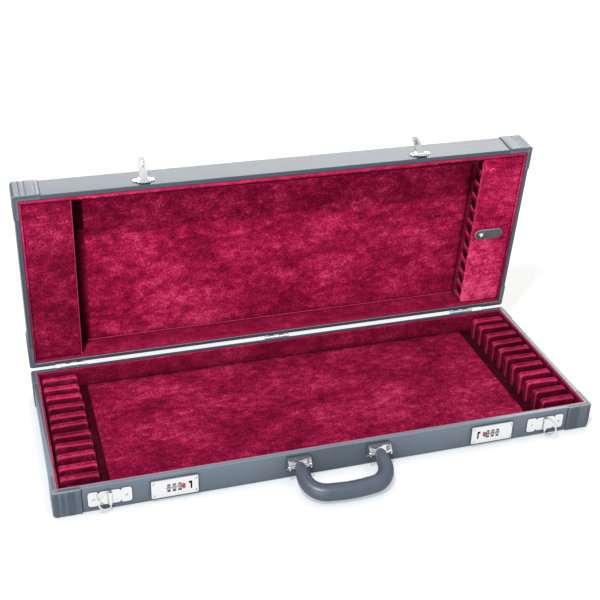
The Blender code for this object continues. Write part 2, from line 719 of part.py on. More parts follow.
def hasp_parts(finish, word, side):
    """Leaf with two ears and its pin, and the tongue with the staple that enters the lock."""
    x = side * (LOCK_X - SLOT_INBOARD)
    center = (HASP_AXIS_Y, HASP_AXIS_Z)
    plate_y = FRONT_Y - SEAT_GAP
    half_tongue = TONGUE_WIDTH / 2
    ear_out = half_tongue + KNUCKLE_GAP + HASP_EAR_WIDTH
    wing = HASP_LEAF_WIDTH / 2
    low = LID_RIM_Z + HASP_LEAF_LOW
    high = LID_RIM_Z + HASP_LEAF_HIGH
    notch_x = half_tongue + KNUCKLE_GAP
    notch_z = center[1] + HASP_KNUCKLE_RADIUS + KNUCKLE_GAP
    half = [(notch_x, notch_z), (notch_x, low), (ear_out, low)]
    half += arc((wing - HASP_WING_RADIUS, (low + high) / 2), HASP_WING_RADIUS,
                -HASP_WING_TURN, HASP_WING_TURN, 8)
    half += [(ear_out, high - LOCK_CORNER), (ear_out - LOCK_CORNER, high)]
    outline = [(x + a, b) for a, b in half] + [(x - a, b) for a, b in reversed(half)]
    leaf = add_object(f"hasp_{word}_leaf", prism(
        outline, plate_y - HASP_LEAF_THICKNESS, plate_y, "Y"), finish["chrome"])
    ear = knuckle_outline(center, HASP_KNUCKLE_RADIUS, plate_y, HASP_LEAF_THICKNESS,
                          low + LOCK_CORNER, -1)
    for mirror in (-1, 1):
        ends = sorted((x + mirror * (half_tongue + KNUCKLE_GAP), x + mirror * ear_out))
        boolean(leaf, add_object("ear", prism(ear, ends[0], ends[1], "X"), finish["chrome"]), "UNION")
    reach = half_tongue + KNUCKLE_GAP + HASP_EAR_WIDTH / 2
    pin = add_object("pin", barrel(HASP_PIN_RADIUS, x - reach, x + reach, center, 12), finish["chrome"])
    boolean(leaf, pin, "UNION")
    return leaf, hasp_tongue(finish, word, x, center, half_tongue)


def tongue_half_width(share):
    """Half width of the tongue at a share of its length: straight first, then rounded in to the tip."""
    turn = max(0.0, share - TONGUE_STRAIGHT) / (1 - TONGUE_STRAIGHT)
    return TONGUE_WIDTH / 2 * math.sqrt(max(0.08, 1 - (TONGUE_BLUNT * turn) ** 3))


def hasp_tongue(finish, word, x, center, half_tongue):
    """Tongue drawn hanging shut over its lock, with a lip to lift it by."""
    back = LOCK_FACE_Y - KNUCKLE_GAP
    bend = 1 - TONGUE_LIP / TONGUE_LENGTH
    rings = []
    for share in (0.0, TONGUE_STRAIGHT, 0.64, 0.76, 0.86, bend, (1 + bend) / 2, 1.0):
        half = tongue_half_width(share)
        near = back - TONGUE_LIP * max(0.0, share - bend) / (1 - bend)
        far = near - TONGUE_THICKNESS
        z = center[1] - TONGUE_LENGTH * share
        rings.append([(x - half, near, z), (x + half, near, z), (x + half, far, z), (x - half, far, z)])
    tongue = add_object(f"hasp_{word}_tongue", loft(rings), finish["chrome"])
    eye = add_object("eye", barrel(HASP_KNUCKLE_RADIUS, x - half_tongue, x + half_tongue, center),
                     finish["chrome"])
    boolean(tongue, eye, "UNION")
    bore = add_object("bore", barrel(HASP_PIN_RADIUS + PIN_CLEARANCE, x - 2 * half_tongue,
                                     x + 2 * half_tongue, center, 12), finish["chrome"])
    boolean(tongue, bore, "DIFFERENCE")
    end = back + STAPLE_DEPTH
    staple_view = [(back - TONGUE_THICKNESS / 2, LOCK_Z - STAPLE_HEIGHT / 2),
                   (end - LOCK_CORNER, LOCK_Z - STAPLE_HEIGHT / 2), (end, LOCK_Z - STAPLE_EYE / 2),
                   (end, LOCK_Z + STAPLE_EYE / 2), (end - LOCK_CORNER, LOCK_Z + STAPLE_HEIGHT / 2),
                   (back - TONGUE_THICKNESS / 2, LOCK_Z + STAPLE_HEIGHT / 2)]
    staple = add_object("staple", prism(staple_view, x - STAPLE_WIDTH / 2, x + STAPLE_WIDTH / 2, "X"),
                        finish["chrome"])
    eye_y = end - STAPLE_DEPTH / 2
    window = add_object("eye", block(
        (x - STAPLE_WIDTH, eye_y - STAPLE_EYE / 2, LOCK_Z - STAPLE_EYE / 2),
        (x + STAPLE_WIDTH, eye_y + STAPLE_EYE / 2, LOCK_Z + STAPLE_EYE / 2)), finish["chrome"])
    boolean(staple, window, "DIFFERENCE")
    return boolean(tongue, staple, "UNION")


def ring_plate_outline():
    """Two square lobes and a middle body parted by pinched waists, drawn about the middle."""
    half = RING_PLATE_LENGTH / 2
    high = RING_PLATE_HEIGHT / 2
    inner = RING_LOBE_RADIUS / 2
    right = arc((half - RING_LOBE_RADIUS, high - RING_LOBE_RADIUS), RING_LOBE_RADIUS,
                0, math.pi / 2, 4)
    right += arc((half - RING_LOBE_WIDTH + inner, high - inner), inner, math.pi / 2, math.pi, 3)
    right.append((RING_WAIST_X, RING_WAIST_HEIGHT / 2))
    right += arc((RING_BODY_LENGTH / 2 - RING_BODY_RADIUS, RING_BODY_HEIGHT / 2 - RING_BODY_RADIUS),
                 RING_BODY_RADIUS, math.pi / 9, math.pi / 2, 4)
    upper = right + [(-x, z) for x, z in reversed(right)]
    return upper + [(x, -z) for x, z in reversed(upper)]


def ring_plate(finish, word, side):
    """Lobed plate with an upright half tube that holds the straight bar of the ring."""
    middle = side * RING_PLATE_X

    def outline(inset):
        shrink_x = 1 - inset / (RING_PLATE_LENGTH / 2)
        shrink_z = 1 - inset / (RING_PLATE_HEIGHT / 2)
        return [(middle + x * shrink_x, RING_PLATE_Z + z * shrink_z)
                for x, z in ring_plate_outline()]

    back_y = FRONT_Y - SEAT_GAP
    face_y = back_y - RING_PLATE_THICKNESS
    plate = add_object(f"ring_plate_{word}", loft(slab_rings(
        outline, face_y, back_y, RING_PLATE_THICKNESS / 3, 0.0, "Y")), finish["chrome"])
    inner = RING_WIRE_RADIUS + RING_CLEARANCE
    outer = inner + RING_LOOP_THICKNESS
    axis = (middle, RING_AXIS_Y)
    root = face_y + RING_PLATE_THICKNESS / 2
    view = [(middle - outer, root)] + arc(axis, outer, math.pi, 2 * math.pi, 10)
    view += [(middle + outer, root), (middle + inner, root)]
    view += arc(axis, inner, 2 * math.pi, math.pi, 8) + [(middle - inner, root)]
    loop = add_object("loop", prism(view, RING_LOOP_LOW, RING_LOOP_HIGH, "Z"), finish["chrome"])
    return boolean(plate, loop, "UNION")


def strap_ring(finish, word, side):
    """D-shaped wire ring about its straight bar, drawn lying flat with its bow outboard."""
    half = RING_HEIGHT / 2 - RING_WIRE_RADIUS
    path = arc((RING_ARM, 0.0), half, -math.pi / 2, math.pi / 2, 14)
    path += arc((RING_CORNER, half - RING_CORNER), RING_CORNER, math.pi / 2, math.pi, 3)
    path += arc((RING_CORNER, RING_CORNER - half), RING_CORNER, math.pi, 3 * math.pi / 2, 3)
    path = [(side * x, z) for x, z in path]
    return add_object(f"strap_ring_{word}", swept_loop(path, RING_WIRE_RADIUS), finish["chrome"], 60)


def swept_loop(path, radius):
    """Round wire along a closed flat path in the XZ plane."""
    rings = []
    count = len(path)
    for i, (x, z) in enumerate(path):
        before = Vector(path[i - 1])
        after = Vector(path[(i + 1) % count])
        tangent = (after - before).normalized()
        side = Vector((tangent.y, -tangent.x))
        ring = []
        for k in range(WIRE_SIDES):
            angle = 2 * math.pi * k / WIRE_SIDES
            out = radius * math.cos(angle)
            ring.append((x + side.x * out, radius * math.sin(angle), z + side.y * out))
        rings.append(ring)
    return loft(rings, closed=True)


def handle_bracket(finish, word, side):
    """Folded bracket: back plate, top flange and two cheeks that carry the handle pin."""
    x = HANDLE_CENTER_X + side * BRACKET_X
    back_y = FRONT_Y - SEAT_GAP
    half = BRACKET_WIDTH / 2
    bracket = add_object(f"handle_bracket_{word}", block(
        (x - half, back_y - BRACKET_SHEET, BRACKET_BOTTOM), (x + half, back_y, BRACKET_TOP)),
        finish["chrome"])
    flange = add_object("flange", block(
        (x - half, back_y - BRACKET_FLANGE, BRACKET_TOP - BRACKET_SHEET),
        (x + half, back_y - BRACKET_SHEET / 2, BRACKET_TOP)), finish["chrome"])
    boolean(bracket, flange, "UNION")
    eye = arc((HANDLE_AXIS_Y, HANDLE_PIVOT_Z), BRACKET_EYE_RADIUS, math.pi * 0.8, math.pi * 1.65, 8)
    cheek = ([(back_y - BRACKET_SHEET / 2, BRACKET_TOP), (back_y - BRACKET_FLANGE, BRACKET_TOP)] + eye
             + [(back_y - BRACKET_SHEET / 2, BRACKET_BOTTOM)])
    for mirror in (-1, 1):
        ends = sorted((x + mirror * half, x + mirror * (half - BRACKET_SHEET)))
        tool = add_object("cheek", prism(cheek, ends[0], ends[1], "X"), finish["chrome"])
        boolean(bracket, tool, "UNION")
    pin = add_object("pin", barrel(HANDLE_PIN_RADIUS, x - half - BRACKET_SHEET / 2,
                                   x + half + BRACKET_SHEET / 2, (HANDLE_AXIS_Y, HANDLE_PIVOT_Z)),
                     finish["chrome"])
    return boolean(bracket, pin, "UNION")


def handle_path():
    """Centre line of the grip in its own flat plane, from the left pin to the right pin."""
    straight = HANDLE_REACH - HANDLE_CORNER
    corner_x = BRACKET_X - HANDLE_CORNER
    left = [(-BRACKET_X, -ARM_CAP * share) for share in (1.0, 0.85, 0.45, 0.0)]
    left += [(-BRACKET_X, straight * 0.45)]
    left += arc((-corner_x, straight), HANDLE_CORNER, math.pi, math.pi / 2, 7)
    middle = [(corner_x * t, HANDLE_REACH + HANDLE_BOW * (1 - t * t)) for t in (-0.5, 0.0, 0.5)]
    right = [(-x, reach) for x, reach in reversed(left)]
    return left + middle + right


def handle_radius(reach):
    """Thickness of the grip by its distance from the pins: a round end, a neck, then the palm."""
    if reach < 0.0:
        return ARM_END_RADIUS * math.sqrt(1 - 0.88 * (reach / ARM_CAP) ** 2)
    share = min(1.0, reach / HANDLE_REACH)
    neck = min(1.0, reach / ARM_NECK)
    radius = ARM_END_RADIUS + (ARM_RADIUS - ARM_END_RADIUS) * math.sin(neck * math.pi / 2)
    return radius + (GRIP_RADIUS - ARM_RADIUS) * share * share


def handle_grip(finish):
    """Padded grip, thicker across the hand, bored at both ends for the bracket pins."""
    path = handle_path()
    rings = []
    for i, (x, reach) in enumerate(path):
        before = Vector(path[max(i - 1, 0)])
        after = Vector(path[min(i + 1, len(path) - 1)])
        tangent = (after - before).normalized()
        side = Vector((-tangent.y, tangent.x))
        radius = handle_radius(reach)
        ring = []
        for k in range(GRIP_SIDES):
            angle = 2 * math.pi * (k + 0.5) / GRIP_SIDES
            out = radius * math.cos(angle)
            ring.append((x + side.x * out, -(reach + side.y * out), radius * math.sin(angle)))
        rings.append(ring)
    grip = add_object("handle_grip", loft(rings), finish["strap"], 60)
    for side in (-1, 1):
        middle = side * BRACKET_X
        bore = add_object("bore", barrel(HANDLE_PIN_RADIUS + PIN_CLEARANCE, middle - BRACKET_WIDTH / 2,
                                         middle + BRACKET_WIDTH / 2, (0.0, 0.0), 12), finish["strap"])
        boolean(grip, bore, "DIFFERENCE")
    return grip


def build():
    clear_scene()
    finish = finishes()
    root = add_pivot("case_root", (0.0, 0.0, 0.0))
    lid_axis = (0.0, HINGE_Y, HINGE_Z)
    lid_pivot = add_pivot("lid_pivot", lid_axis, root, turn=(-LID_ANGLE, 0.0, 0.0))

    for part in base_parts(finish) + divider_parts(finish):
        put_on(part, root)
    for part in lid_parts(finish) + [notched_wall(finish)]:
        put_on(part, lid_pivot, lid_axis)

    cover_axis = (COVER_AXIS_X, 0.0, LID_RIM_Z + PANEL_DROP + PANEL_THICKNESS / 2)
    cover_pivot = add_pivot("cover_pivot", cover_axis, lid_pivot, lid_axis)
    for part in cover_parts(finish):
        put_on(part, cover_pivot, cover_axis)

    for word, side in (("left", -1), ("middle", 0), ("right", 1)):
        lower, upper = hinge_parts(finish, word, side * HINGE_X + HINGE_SHIFT)
        put_on(lower, root)
        put_on(upper, lid_pivot, lid_axis)

    for word, side, tongue_open, ring_swing in (("left", -1, TONGUE_OPEN_LEFT, RING_SWING_LEFT),
                                                ("right", 1, TONGUE_OPEN_RIGHT, RING_SWING_RIGHT)):
        for part in lock_parts(finish, word, side):
            part.parent = root
        leaf, tongue = hasp_parts(finish, word, side)
        put_on(leaf, lid_pivot, lid_axis)
        hasp_axis = (side * (LOCK_X - SLOT_INBOARD), HASP_AXIS_Y, HASP_AXIS_Z)
        hasp_pivot = add_pivot(f"hasp_{word}_pivot", hasp_axis, lid_pivot, lid_axis,
                               (-tongue_open, 0.0, 0.0))
        put_on(tongue, hasp_pivot, hasp_axis)
        put_on(ring_plate(finish, word, side), root)
        ring = strap_ring(finish, word, side)
        ring.parent = root
        ring.location = (side * RING_PLATE_X, RING_AXIS_Y, RING_Z)
        ring.rotation_euler = (0.0, 0.0, -side * ring_swing)
        put_on(handle_bracket(finish, word, side), root)

    grip = handle_grip(finish)
    grip.parent = root
    grip.location = (HANDLE_CENTER_X, HANDLE_AXIS_Y, HANDLE_PIVOT_Z)
    grip.rotation_euler = (HANDLE_SLOPE, 0.0, 0.0)


build()
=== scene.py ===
# %% [markdown]
# # Dressing a bow case in Blender
# The imported model gives us every solid of the case in metres, in its real place. This notebook
# gives those solids their finishes, and builds over them the soft things a solid can't show:
# crushed velvet, turned leatherette, stitching and screws. We load the frame first.

# %% Load the imported case
import json
import math
import random

import bmesh
import bpy
from mathutils import Matrix, Vector, noise


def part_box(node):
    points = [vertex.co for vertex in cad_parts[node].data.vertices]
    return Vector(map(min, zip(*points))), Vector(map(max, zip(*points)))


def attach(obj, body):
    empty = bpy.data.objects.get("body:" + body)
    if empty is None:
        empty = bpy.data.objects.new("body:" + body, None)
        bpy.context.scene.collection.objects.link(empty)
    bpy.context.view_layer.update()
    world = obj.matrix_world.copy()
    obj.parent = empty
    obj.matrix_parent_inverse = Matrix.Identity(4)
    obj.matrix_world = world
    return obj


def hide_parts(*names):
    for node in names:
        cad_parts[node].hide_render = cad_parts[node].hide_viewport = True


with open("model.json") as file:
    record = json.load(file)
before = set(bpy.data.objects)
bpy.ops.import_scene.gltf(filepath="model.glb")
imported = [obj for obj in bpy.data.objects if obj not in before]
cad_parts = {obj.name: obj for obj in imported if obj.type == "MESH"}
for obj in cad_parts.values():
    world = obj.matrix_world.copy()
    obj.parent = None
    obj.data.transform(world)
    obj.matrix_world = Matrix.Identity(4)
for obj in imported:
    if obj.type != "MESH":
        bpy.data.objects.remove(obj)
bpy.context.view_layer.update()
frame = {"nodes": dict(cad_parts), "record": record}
nodes = frame["nodes"]

# %% [markdown]
# ## Where the photographer stood
# The picture looks down on the case from its left front corner, with a long lens and a slight
# tilt. A camera is only a place and three directions: we build the view direction from an azimuth
# and an elevation, derive right and up from it, and roll both a little.

# %% The camera
AZIMUTH, ELEVATION, ROLL = (math.radians(angle) for angle in (17.6702, 29.3946, 1.558))
TARGET = Vector((-0.0163015, 0.0, 0.1975054))
DISTANCE = 1.6020444
FOCAL_PIXELS, PICTURE_PIXELS, SENSOR_MM = 1102.3263, 600, 36.0

look = Vector((math.sin(AZIMUTH) * math.cos(ELEVATION), math.cos(AZIMUTH) * math.cos(ELEVATION),
               -math.sin(ELEVATION)))
right = look.cross(Vector((0, 0, 1))).normalized()
above = right.cross(look)
camera_right = right * math.cos(ROLL) + above * math.sin(ROLL)
camera_up = above * math.cos(ROLL) - right * math.sin(ROLL)
camera_data = bpy.data.cameras.new("camera")
camera_data.sensor_width = SENSOR_MM
camera_data.lens = SENSOR_MM * FOCAL_PIXELS / PICTURE_PIXELS
camera = bpy.data.objects.new("camera", camera_data)
bpy.context.scene.collection.objects.link(camera)
axes = Matrix((camera_right, camera_up, -look)).transposed().to_4x4()
camera.matrix_world = Matrix.Translation(TARGET - look * DISTANCE) @ axes
bpy.context.scene.camera = camera
print("camera lens", round(camera_data.lens, 1), "mm")

# %% [markdown]
# ## A tool for node materials
# Every finish below is a small node graph. Writing each link by hand is long, so a helper adds a
# node, sets its values, and joins its inputs: a value that is an output socket is linked, any
# other value is written into the socket.

# %% A helper for node graphs
class Finish:
    """A Principled material with a short way to add nodes to it."""

    def __init__(self, name, **values):
        self.material = bpy.data.materials.new(name)
        self.material.use_nodes = True
        self.tree = self.material.node_tree
        self.shader = self.tree.nodes["Principled BSDF"]
        self.place = self.add("ShaderNodeTexCoord").outputs["Object"]
        self.set(self.shader, values)

    def add(self, kind, inputs=None, **settings):
        node = self.tree.nodes.new(kind)
        for key, value in settings.items():
            setattr(node, key, value)
        self.set(node, inputs or {})
        return node

    def set(self, node, inputs):
        for key, value in inputs.items():
            socket = node.inputs[key]
            if isinstance(value, bpy.types.NodeSocket):
                self.tree.links.new(value, socket)
            else:
                socket.default_value = value

    def noise(self, scale, detail=2.0, roughness=0.5, stretch=None, shift=0.0):
        place = self.place
        if stretch:
            place = self.add("ShaderNodeMapping", {"Vector": place, "Location": (shift, 0.0, 0.0),
                                                   "Scale": stretch}).outputs[0]
        return self.add("ShaderNodeTexNoise", {"Vector": place, "Scale": scale, "Detail": detail,
                                               "Roughness": roughness}).outputs["Fac"]

    def ramp(self, factor, stops):
        node = self.add("ShaderNodeValToRGB", {"Fac": factor})
        points = node.color_ramp.elements
        while len(points) < len(stops):
            points.new(0.5)
        for point, (position, color) in zip(points, stops):
            point.position = position
            point.color = (*color, 1.0)
        return node.outputs["Color"]

    def math(self, operation, first, second):
        return self.add("ShaderNodeMath", {0: first, 1: second}, operation=operation).outputs[0]

    def mix(self, factor, first, second):
        """Blend two colours; a value or a link goes into each socket."""
        node = self.tree.nodes.new("ShaderNodeMix")
        node.data_type = "RGBA"
        sockets = {"Factor": (0, factor), "A": (6, first), "B": (7, second)}
        for number, value in sockets.values():
            if isinstance(value, bpy.types.NodeSocket):
                self.tree.links.new(value, node.inputs[number])
            else:
                node.inputs[number].default_value = value
        return node.outputs[2]

    def bump(self, height, distance, strength=1.0, under=None):
        inputs = {"Height": height, "Distance": distance, "Strength": strength}
        if under:
            inputs["Normal"] = under
        return self.add("ShaderNodeBump", inputs).outputs["Normal"]


print("finish helper ready")

# %% [markdown]
# ## Leatherette
# The outside is thin slate-blue leatherette: an embossed pebble grain with a soft gloss. A Voronoi
# texture gives the cells of the grain and a slow noise the faint mottling of the dye. Where the
# sheet is pulled over an edge it wears lighter, and Cycles can tell us where that is: the
# Pointiness of a surface is above one half on its convex edges.

# %% The slate leatherette
def worn_edges(finish, color, worn, start=0.52, end=0.60):
    """Mix a lighter colour in where the surface turns outward: wear on leatherette, a painted sheen on
    velvet.
    """
    edge = finish.add("ShaderNodeNewGeometry").outputs["Pointiness"]
    wear = finish.ramp(edge, ((start, (0.0, 0.0, 0.0)), (end, (1.0, 1.0, 1.0))))
    return finish.mix(wear, color, (*worn, 1.0))


def grooved(finish, color, shade, start=0.42, end=0.485):
    """Mix a darker colour in where the surface turns inward: painted shade in the grooves."""
    edge = finish.add("ShaderNodeNewGeometry").outputs["Pointiness"]
    flat = finish.ramp(edge, ((start, (0.0, 0.0, 0.0)), (end, (1.0, 1.0, 1.0))))
    return finish.mix(flat, (*shade, 1.0), color)


def creases(finish, color, shade, reach):
    """Mix a darker colour in where other surfaces stand close: painted shade in corners, gaps and
    recesses.
    """
    open_share = finish.add("ShaderNodeAmbientOcclusion", {"Distance": reach}, samples=6).outputs["AO"]
    return finish.mix(open_share, (*shade, 1.0), color)


def leatherette(name, dark, light, worn, gloss, shaded=0.0):
    """Pebbled leather. A shaded one also gets painted shade within that distance of the table and
    fittings.
    """
    finish = Finish(name, Roughness=gloss)
    tone = finish.noise(9.0, 4.0, 0.6)
    dye = finish.ramp(tone, ((0.3, dark), (0.7, light)))
    # Painted shade colour for the grooves and for places close to other surfaces.
    shade = tuple(channel * 0.12 for channel in dark)
    worn_dye = grooved(finish, worn_edges(finish, dye, worn), shade)
    if shaded:
        worn_dye = creases(finish, worn_dye, (0.0, 0.0, 0.0), shaded)
    finish.set(finish.shader, {"Base Color": creases(finish, worn_dye, shade, 0.004)})
    pebble = finish.add("ShaderNodeTexVoronoi", {"Vector": finish.place, "Scale": 850.0},
                        feature="SMOOTH_F1").outputs["Distance"]
    fine = finish.noise(2400.0, 2.0)
    grain = finish.bump(pebble, 0.00012, 0.5)
    finish.set(finish.shader, {"Normal": finish.bump(fine, 0.00004, 0.4, grain)})
    return finish.material


slate = leatherette("slate leatherette", (0.050, 0.070, 0.100), (0.068, 0.092, 0.128),
                    (0.17, 0.21, 0.24), 0.34)
# A lighter copy of the slate for the base's front: painted light, with painted shade towards the table
# and behind the grip.
lit_front_slate = leatherette("lit front leatherette", (0.165, 0.212, 0.272), (0.205, 0.262, 0.330),
                          (0.28, 0.33, 0.37), 0.34, 0.075)
strap_leather = leatherette("strap leather", (0.032, 0.048, 0.062), (0.046, 0.064, 0.080),
                            (0.16, 0.19, 0.21), 0.34)
grip_leather = leatherette("grip leather", (0.058, 0.076, 0.104), (0.082, 0.104, 0.140),
                           (0.16, 0.19, 0.21), 0.40)
print("leatherettes:", slate.name, strap_leather.name, "and", grip_leather.name)

# %% [markdown]
# ## Crushed velvet
# Crushed velvet shows patches where the nap lies this way or that: some throw the light back and
# look pink, others look nearly black. Two noises make it: a slow one for the patches, as wide as a
# thumb, and a fine one for the tufts. Their sum drives the colour. Sheen adds the pale rim that
# velvet has where it turns away, and a painted sheen makes its folded edges paler again. Lighter and
# darker copies of the velvet paint light and shade, and it darkens where other surfaces stand close,
# as painted shade.

# %% The wine-red velvet
NAP = ((0.385, (0.115, 0.0012, 0.018)), (0.46, (0.25, 0.004, 0.040)), (0.50, (0.36, 0.006, 0.058)),
       (0.55, (0.50, 0.018, 0.090)), (0.615, (0.80, 0.065, 0.195)), (0.70, (0.95, 0.14, 0.32)))
NAP_MIDDLE = 0.50
PAINTED_FOLD_SHEEN = (0.66, 0.045, 0.16)


def velvet(name, share, contrast=1.0, reach=0.012, painted_flank_shade=None, low=0.0, fold=(0.52, 0.60), glow=1.0,
           painted_ledge_light=0.0, shift=0.0):
    """Velvet at a share of its base colours; most shares paint light and shade onto the one cloth.

    Its flanks can take painted shade, its lower part and its ledges painted light, and its folds a
    painted sheen.
    """
    finish = Finish(name, Roughness=0.9)
    finish.set(finish.shader, {"Sheen Weight": 0.10 * share, "Sheen Roughness": 0.35,
                               "Sheen Tint": (1.0, 0.12, 0.36, 1.0), "Specular IOR Level": 0.08})
    patches = finish.noise(14.0, 3.0, 0.5, (0.8, 1.3, 1.3), shift)
    streaks = finish.noise(80.0, 3.0, 0.6, (0.7, 1.1, 1.1), shift)
    tufts = finish.noise(400.0, 3.0, 0.7)
    slow = finish.math("ADD", finish.math("MULTIPLY", patches, 0.26),
                       finish.math("MULTIPLY", streaks, 0.30))
    crush = finish.math("ADD", slow, finish.math("MULTIPLY", tufts, 0.44))
    # Painted light: lower down, the colour moves towards the paler end of the nap.
    if low:
        height = finish.add("ShaderNodeSeparateXYZ", {"Vector": finish.place}).outputs["Z"]
        painted_light_lift = finish.add("ShaderNodeMapRange", {"Value": height, "From Min": LIT_LOW[0],
                                                 "From Max": LIT_LOW[1], "To Min": low, "To Max": 0.0})
        crush = finish.math("ADD", crush, painted_light_lift.outputs[0])
    stops = [(NAP_MIDDLE + (place - NAP_MIDDLE) / contrast, tuple(c * share for c in color))
             for place, color in NAP]
    pale = tuple(c * share ** 0.5 * glow for c in PAINTED_FOLD_SHEEN)
    color = finish.ramp(crush, stops)
    # Painted light and shade by facing: flanks take painted shade, upward ledges a painted highlight.
    if painted_flank_shade or painted_ledge_light:
        normal = finish.add("ShaderNodeNewGeometry").outputs["True Normal"]
        facing_up = finish.add("ShaderNodeSeparateXYZ", {"Vector": normal}).outputs["Z"]
        lit = finish.add("ShaderNodeMapRange", {"Value": facing_up, "From Min": 0.15, "From Max": 0.8,
                                                "To Min": painted_flank_shade or 0.0, "To Max": painted_ledge_light or 1.0})
        if painted_ledge_light:
            color = finish.mix(lit.outputs[0], color, (*pale, 1.0))
        else:
            color = finish.mix(lit.outputs[0], (*stops[0][1], 1.0), color)
    # Painted sheen on the folded edges.
    color = worn_edges(finish, color, pale, *fold)
    # Painted shade where other surfaces stand close.
    shade = tuple(channel * 0.25 for channel in stops[0][1])
    finish.set(finish.shader, {"Base Color": creases(finish, color, shade, reach)})
    folds = finish.bump(crush, 0.003, 0.5)
    nap = finish.noise(1500.0, 2.0)
    finish.set(finish.shader, {"Normal": finish.bump(nap, 0.0002, 0.5, folds)})
    return finish.material


LIT_LOW = (0.09, 0.24)
# Painted light and shade: one velvet at other shares. The cover, the stud and the lid's rim strip are
# lighter copies. The pad, the end box, the walls, the channels and the notched wall are darker ones. The
# main velvet, the cover and the notched wall are painted lighter towards their foot.
wine = velvet("wine velvet", 1.02, low=0.014, shift=3.7)
rim_wine = velvet("rim velvet", 0.85, 0.9, 0.004, glow=0.9)
lit_cover_wine = velvet("cover velvet", 1.2, low=0.085)
welt_wine = velvet("welt velvet", 1.1, 0.8, 0.001, glow=1.1)
lit_stud_wine = velvet("stud velvet", 1.75, 0.8, 0.001, glow=1.5)
pad_wine = velvet("pad velvet", 0.71)
box_wine = velvet("end box velvet", 0.76)
lit_strip_wine = velvet("strip velvet", 1.35, 0.9, 0.002, glow=1.3)
painted_shade_wine = velvet("wall velvet", 0.58, 0.7)
painted_shadow_wine = velvet("channel velvet", 0.16, 0.7, 0.022)
notch_wine = velvet("notched wall velvet", 0.44, 0.9, 0.008, low=0.04, fold=(0.62, 0.72), painted_ledge_light=0.9)
# The dividers' three shares differ at random; each also takes painted shade on its sides and a painted
# sheen on its edges.
divider_wines = [velvet(f"divider velvet {i}", share, 1.1, 0.012, 0.36, fold=(0.508, 0.565), glow=glow)
                 for i, (share, glow) in enumerate(((0.60, 1.1), (0.72, 1.2), (0.84, 1.3)))]
velvets = (wine, rim_wine, lit_cover_wine, welt_wine, pad_wine, box_wine, painted_shade_wine, painted_shadow_wine, notch_wine,
           lit_strip_wine, *divider_wines)
print("velvets:", ", ".join(material.name for material in velvets))

# %% [markdown]
# ## Metal, enamel, thread and ink
# The fittings are bright chrome plate. Perfect mirrors look like nothing at all, so a little
# roughness varies over the plate. The release buttons are plain glossy red, the numbers on the
# wheels are dark ink, and the stitches are waxed thread with a twist in it.

# %% The small finishes
def plated(name, color, low, high, painted_crevice_shade=0.06, reach=0.0022):
    finish = Finish(name, Metallic=1.0)
    # Painted shade: the plate darkens where other surfaces stand close.
    shade = tuple(channel * painted_crevice_shade for channel in color)
    plate = finish.ramp(finish.noise(40.0, 2.0), ((0.0, color), (1.0, color)))
    finish.set(finish.shader, {"Base Color": creases(finish, plate, shade, reach)})
    cloud = finish.noise(60.0, 3.0)
    spread = finish.math("MULTIPLY", cloud, high - low)
    finish.set(finish.shader, {"Roughness": finish.math("ADD", spread, low)})
    return finish.material


def glossy(name, color, roughness, shine=0.5):
    finish = Finish(name, Roughness=roughness)
    cloud = finish.noise(120.0, 2.0)
    shade = tuple(channel * 0.85 for channel in color)
    finish.set(finish.shader, {"Base Color": finish.ramp(cloud, ((0.3, shade), (0.7, color)))})
    finish.set(finish.shader, {"Coat Weight": shine, "Coat Roughness": 0.1})
    return finish.material


def twisted(name, dark, light):
    finish = Finish(name, Roughness=0.6)
    strands = finish.noise(1800.0, 2.0, 0.5)
    finish.set(finish.shader, {"Base Color": finish.ramp(strands, ((0.35, dark), (0.65, light)))})
    finish.set(finish.shader, {"Normal": finish.bump(strands, 0.0001, 0.6)})
    return finish.material


chrome = plated("bright chrome", (0.82, 0.825, 0.835), 0.10, 0.26)
# Painted shade: a dark grey for the bracket's upward faces.
bracket_top_shade = plated("bracket top shade", (0.30, 0.32, 0.32), 0.36, 0.50)
hinge_plate = plated("hinge plate", (0.86, 0.865, 0.875), 0.44, 0.58, 0.45, 0.0012)
steel = plated("satin wheels", (0.60, 0.605, 0.62), 0.22, 0.38)
button_red = glossy("red button", (0.52, 0.02, 0.045), 0.25)
mark_red = glossy("red mark", (0.50, 0.015, 0.03), 0.4, 0.2)
ink = glossy("dark ink", (0.012, 0.012, 0.014), 0.5, 0.0)
pale_edge = glossy("pale cut edge", (0.30, 0.33, 0.34), 0.5, 0.1)
thread = twisted("slate thread", (0.030, 0.040, 0.046), (0.085, 0.105, 0.115))
print("small finishes:", ", ".join(m.name for m in (chrome, button_red, mark_red, ink, thread)))

# %% [markdown]
# ## Giving every solid its finish
# The record says which material slot each solid takes. We walk through that list and put our
# richer materials in place of the plain ones. The velvet solids are replaced later on.

# %% Finishes on the solids
finish_of_slot = {"leatherette": slate, "velvet": wine, "chrome": chrome, "enamel": button_red,
                  "strap": strap_leather}
for part in frame["record"]["subparts"]:
    node = nodes[part["node"]]
    node.data.materials.clear()
    if "_wheel_" in part["node"]:
        node.data.materials.append(steel)
    elif part["node"].startswith("hinge"):
        node.data.materials.append(hinge_plate)
    elif part["node"].startswith("handle_bracket"):
        node.data.materials.append(chrome)
        node.data.materials.append(bracket_top_shade)
        # Its upward faces take the dark grey: painted shade.
        for face in node.data.polygons:
            face.material_index = 1 if face.normal.z > 0.9 else 0
    else:
        node.data.materials.append(finish_of_slot[part["material_slot"]])
# The base's front faces and its front rim take the lighter copy: painted light and painted shade.
base_walls = nodes["base_shell"].data
base_walls.materials.append(lit_front_slate)
for face in base_walls.polygons:
    if face.normal.y < -0.4 or (face.normal.z > 0.4 and face.center.y < 0 < face.center.z - 0.03):
        face.material_index = 1

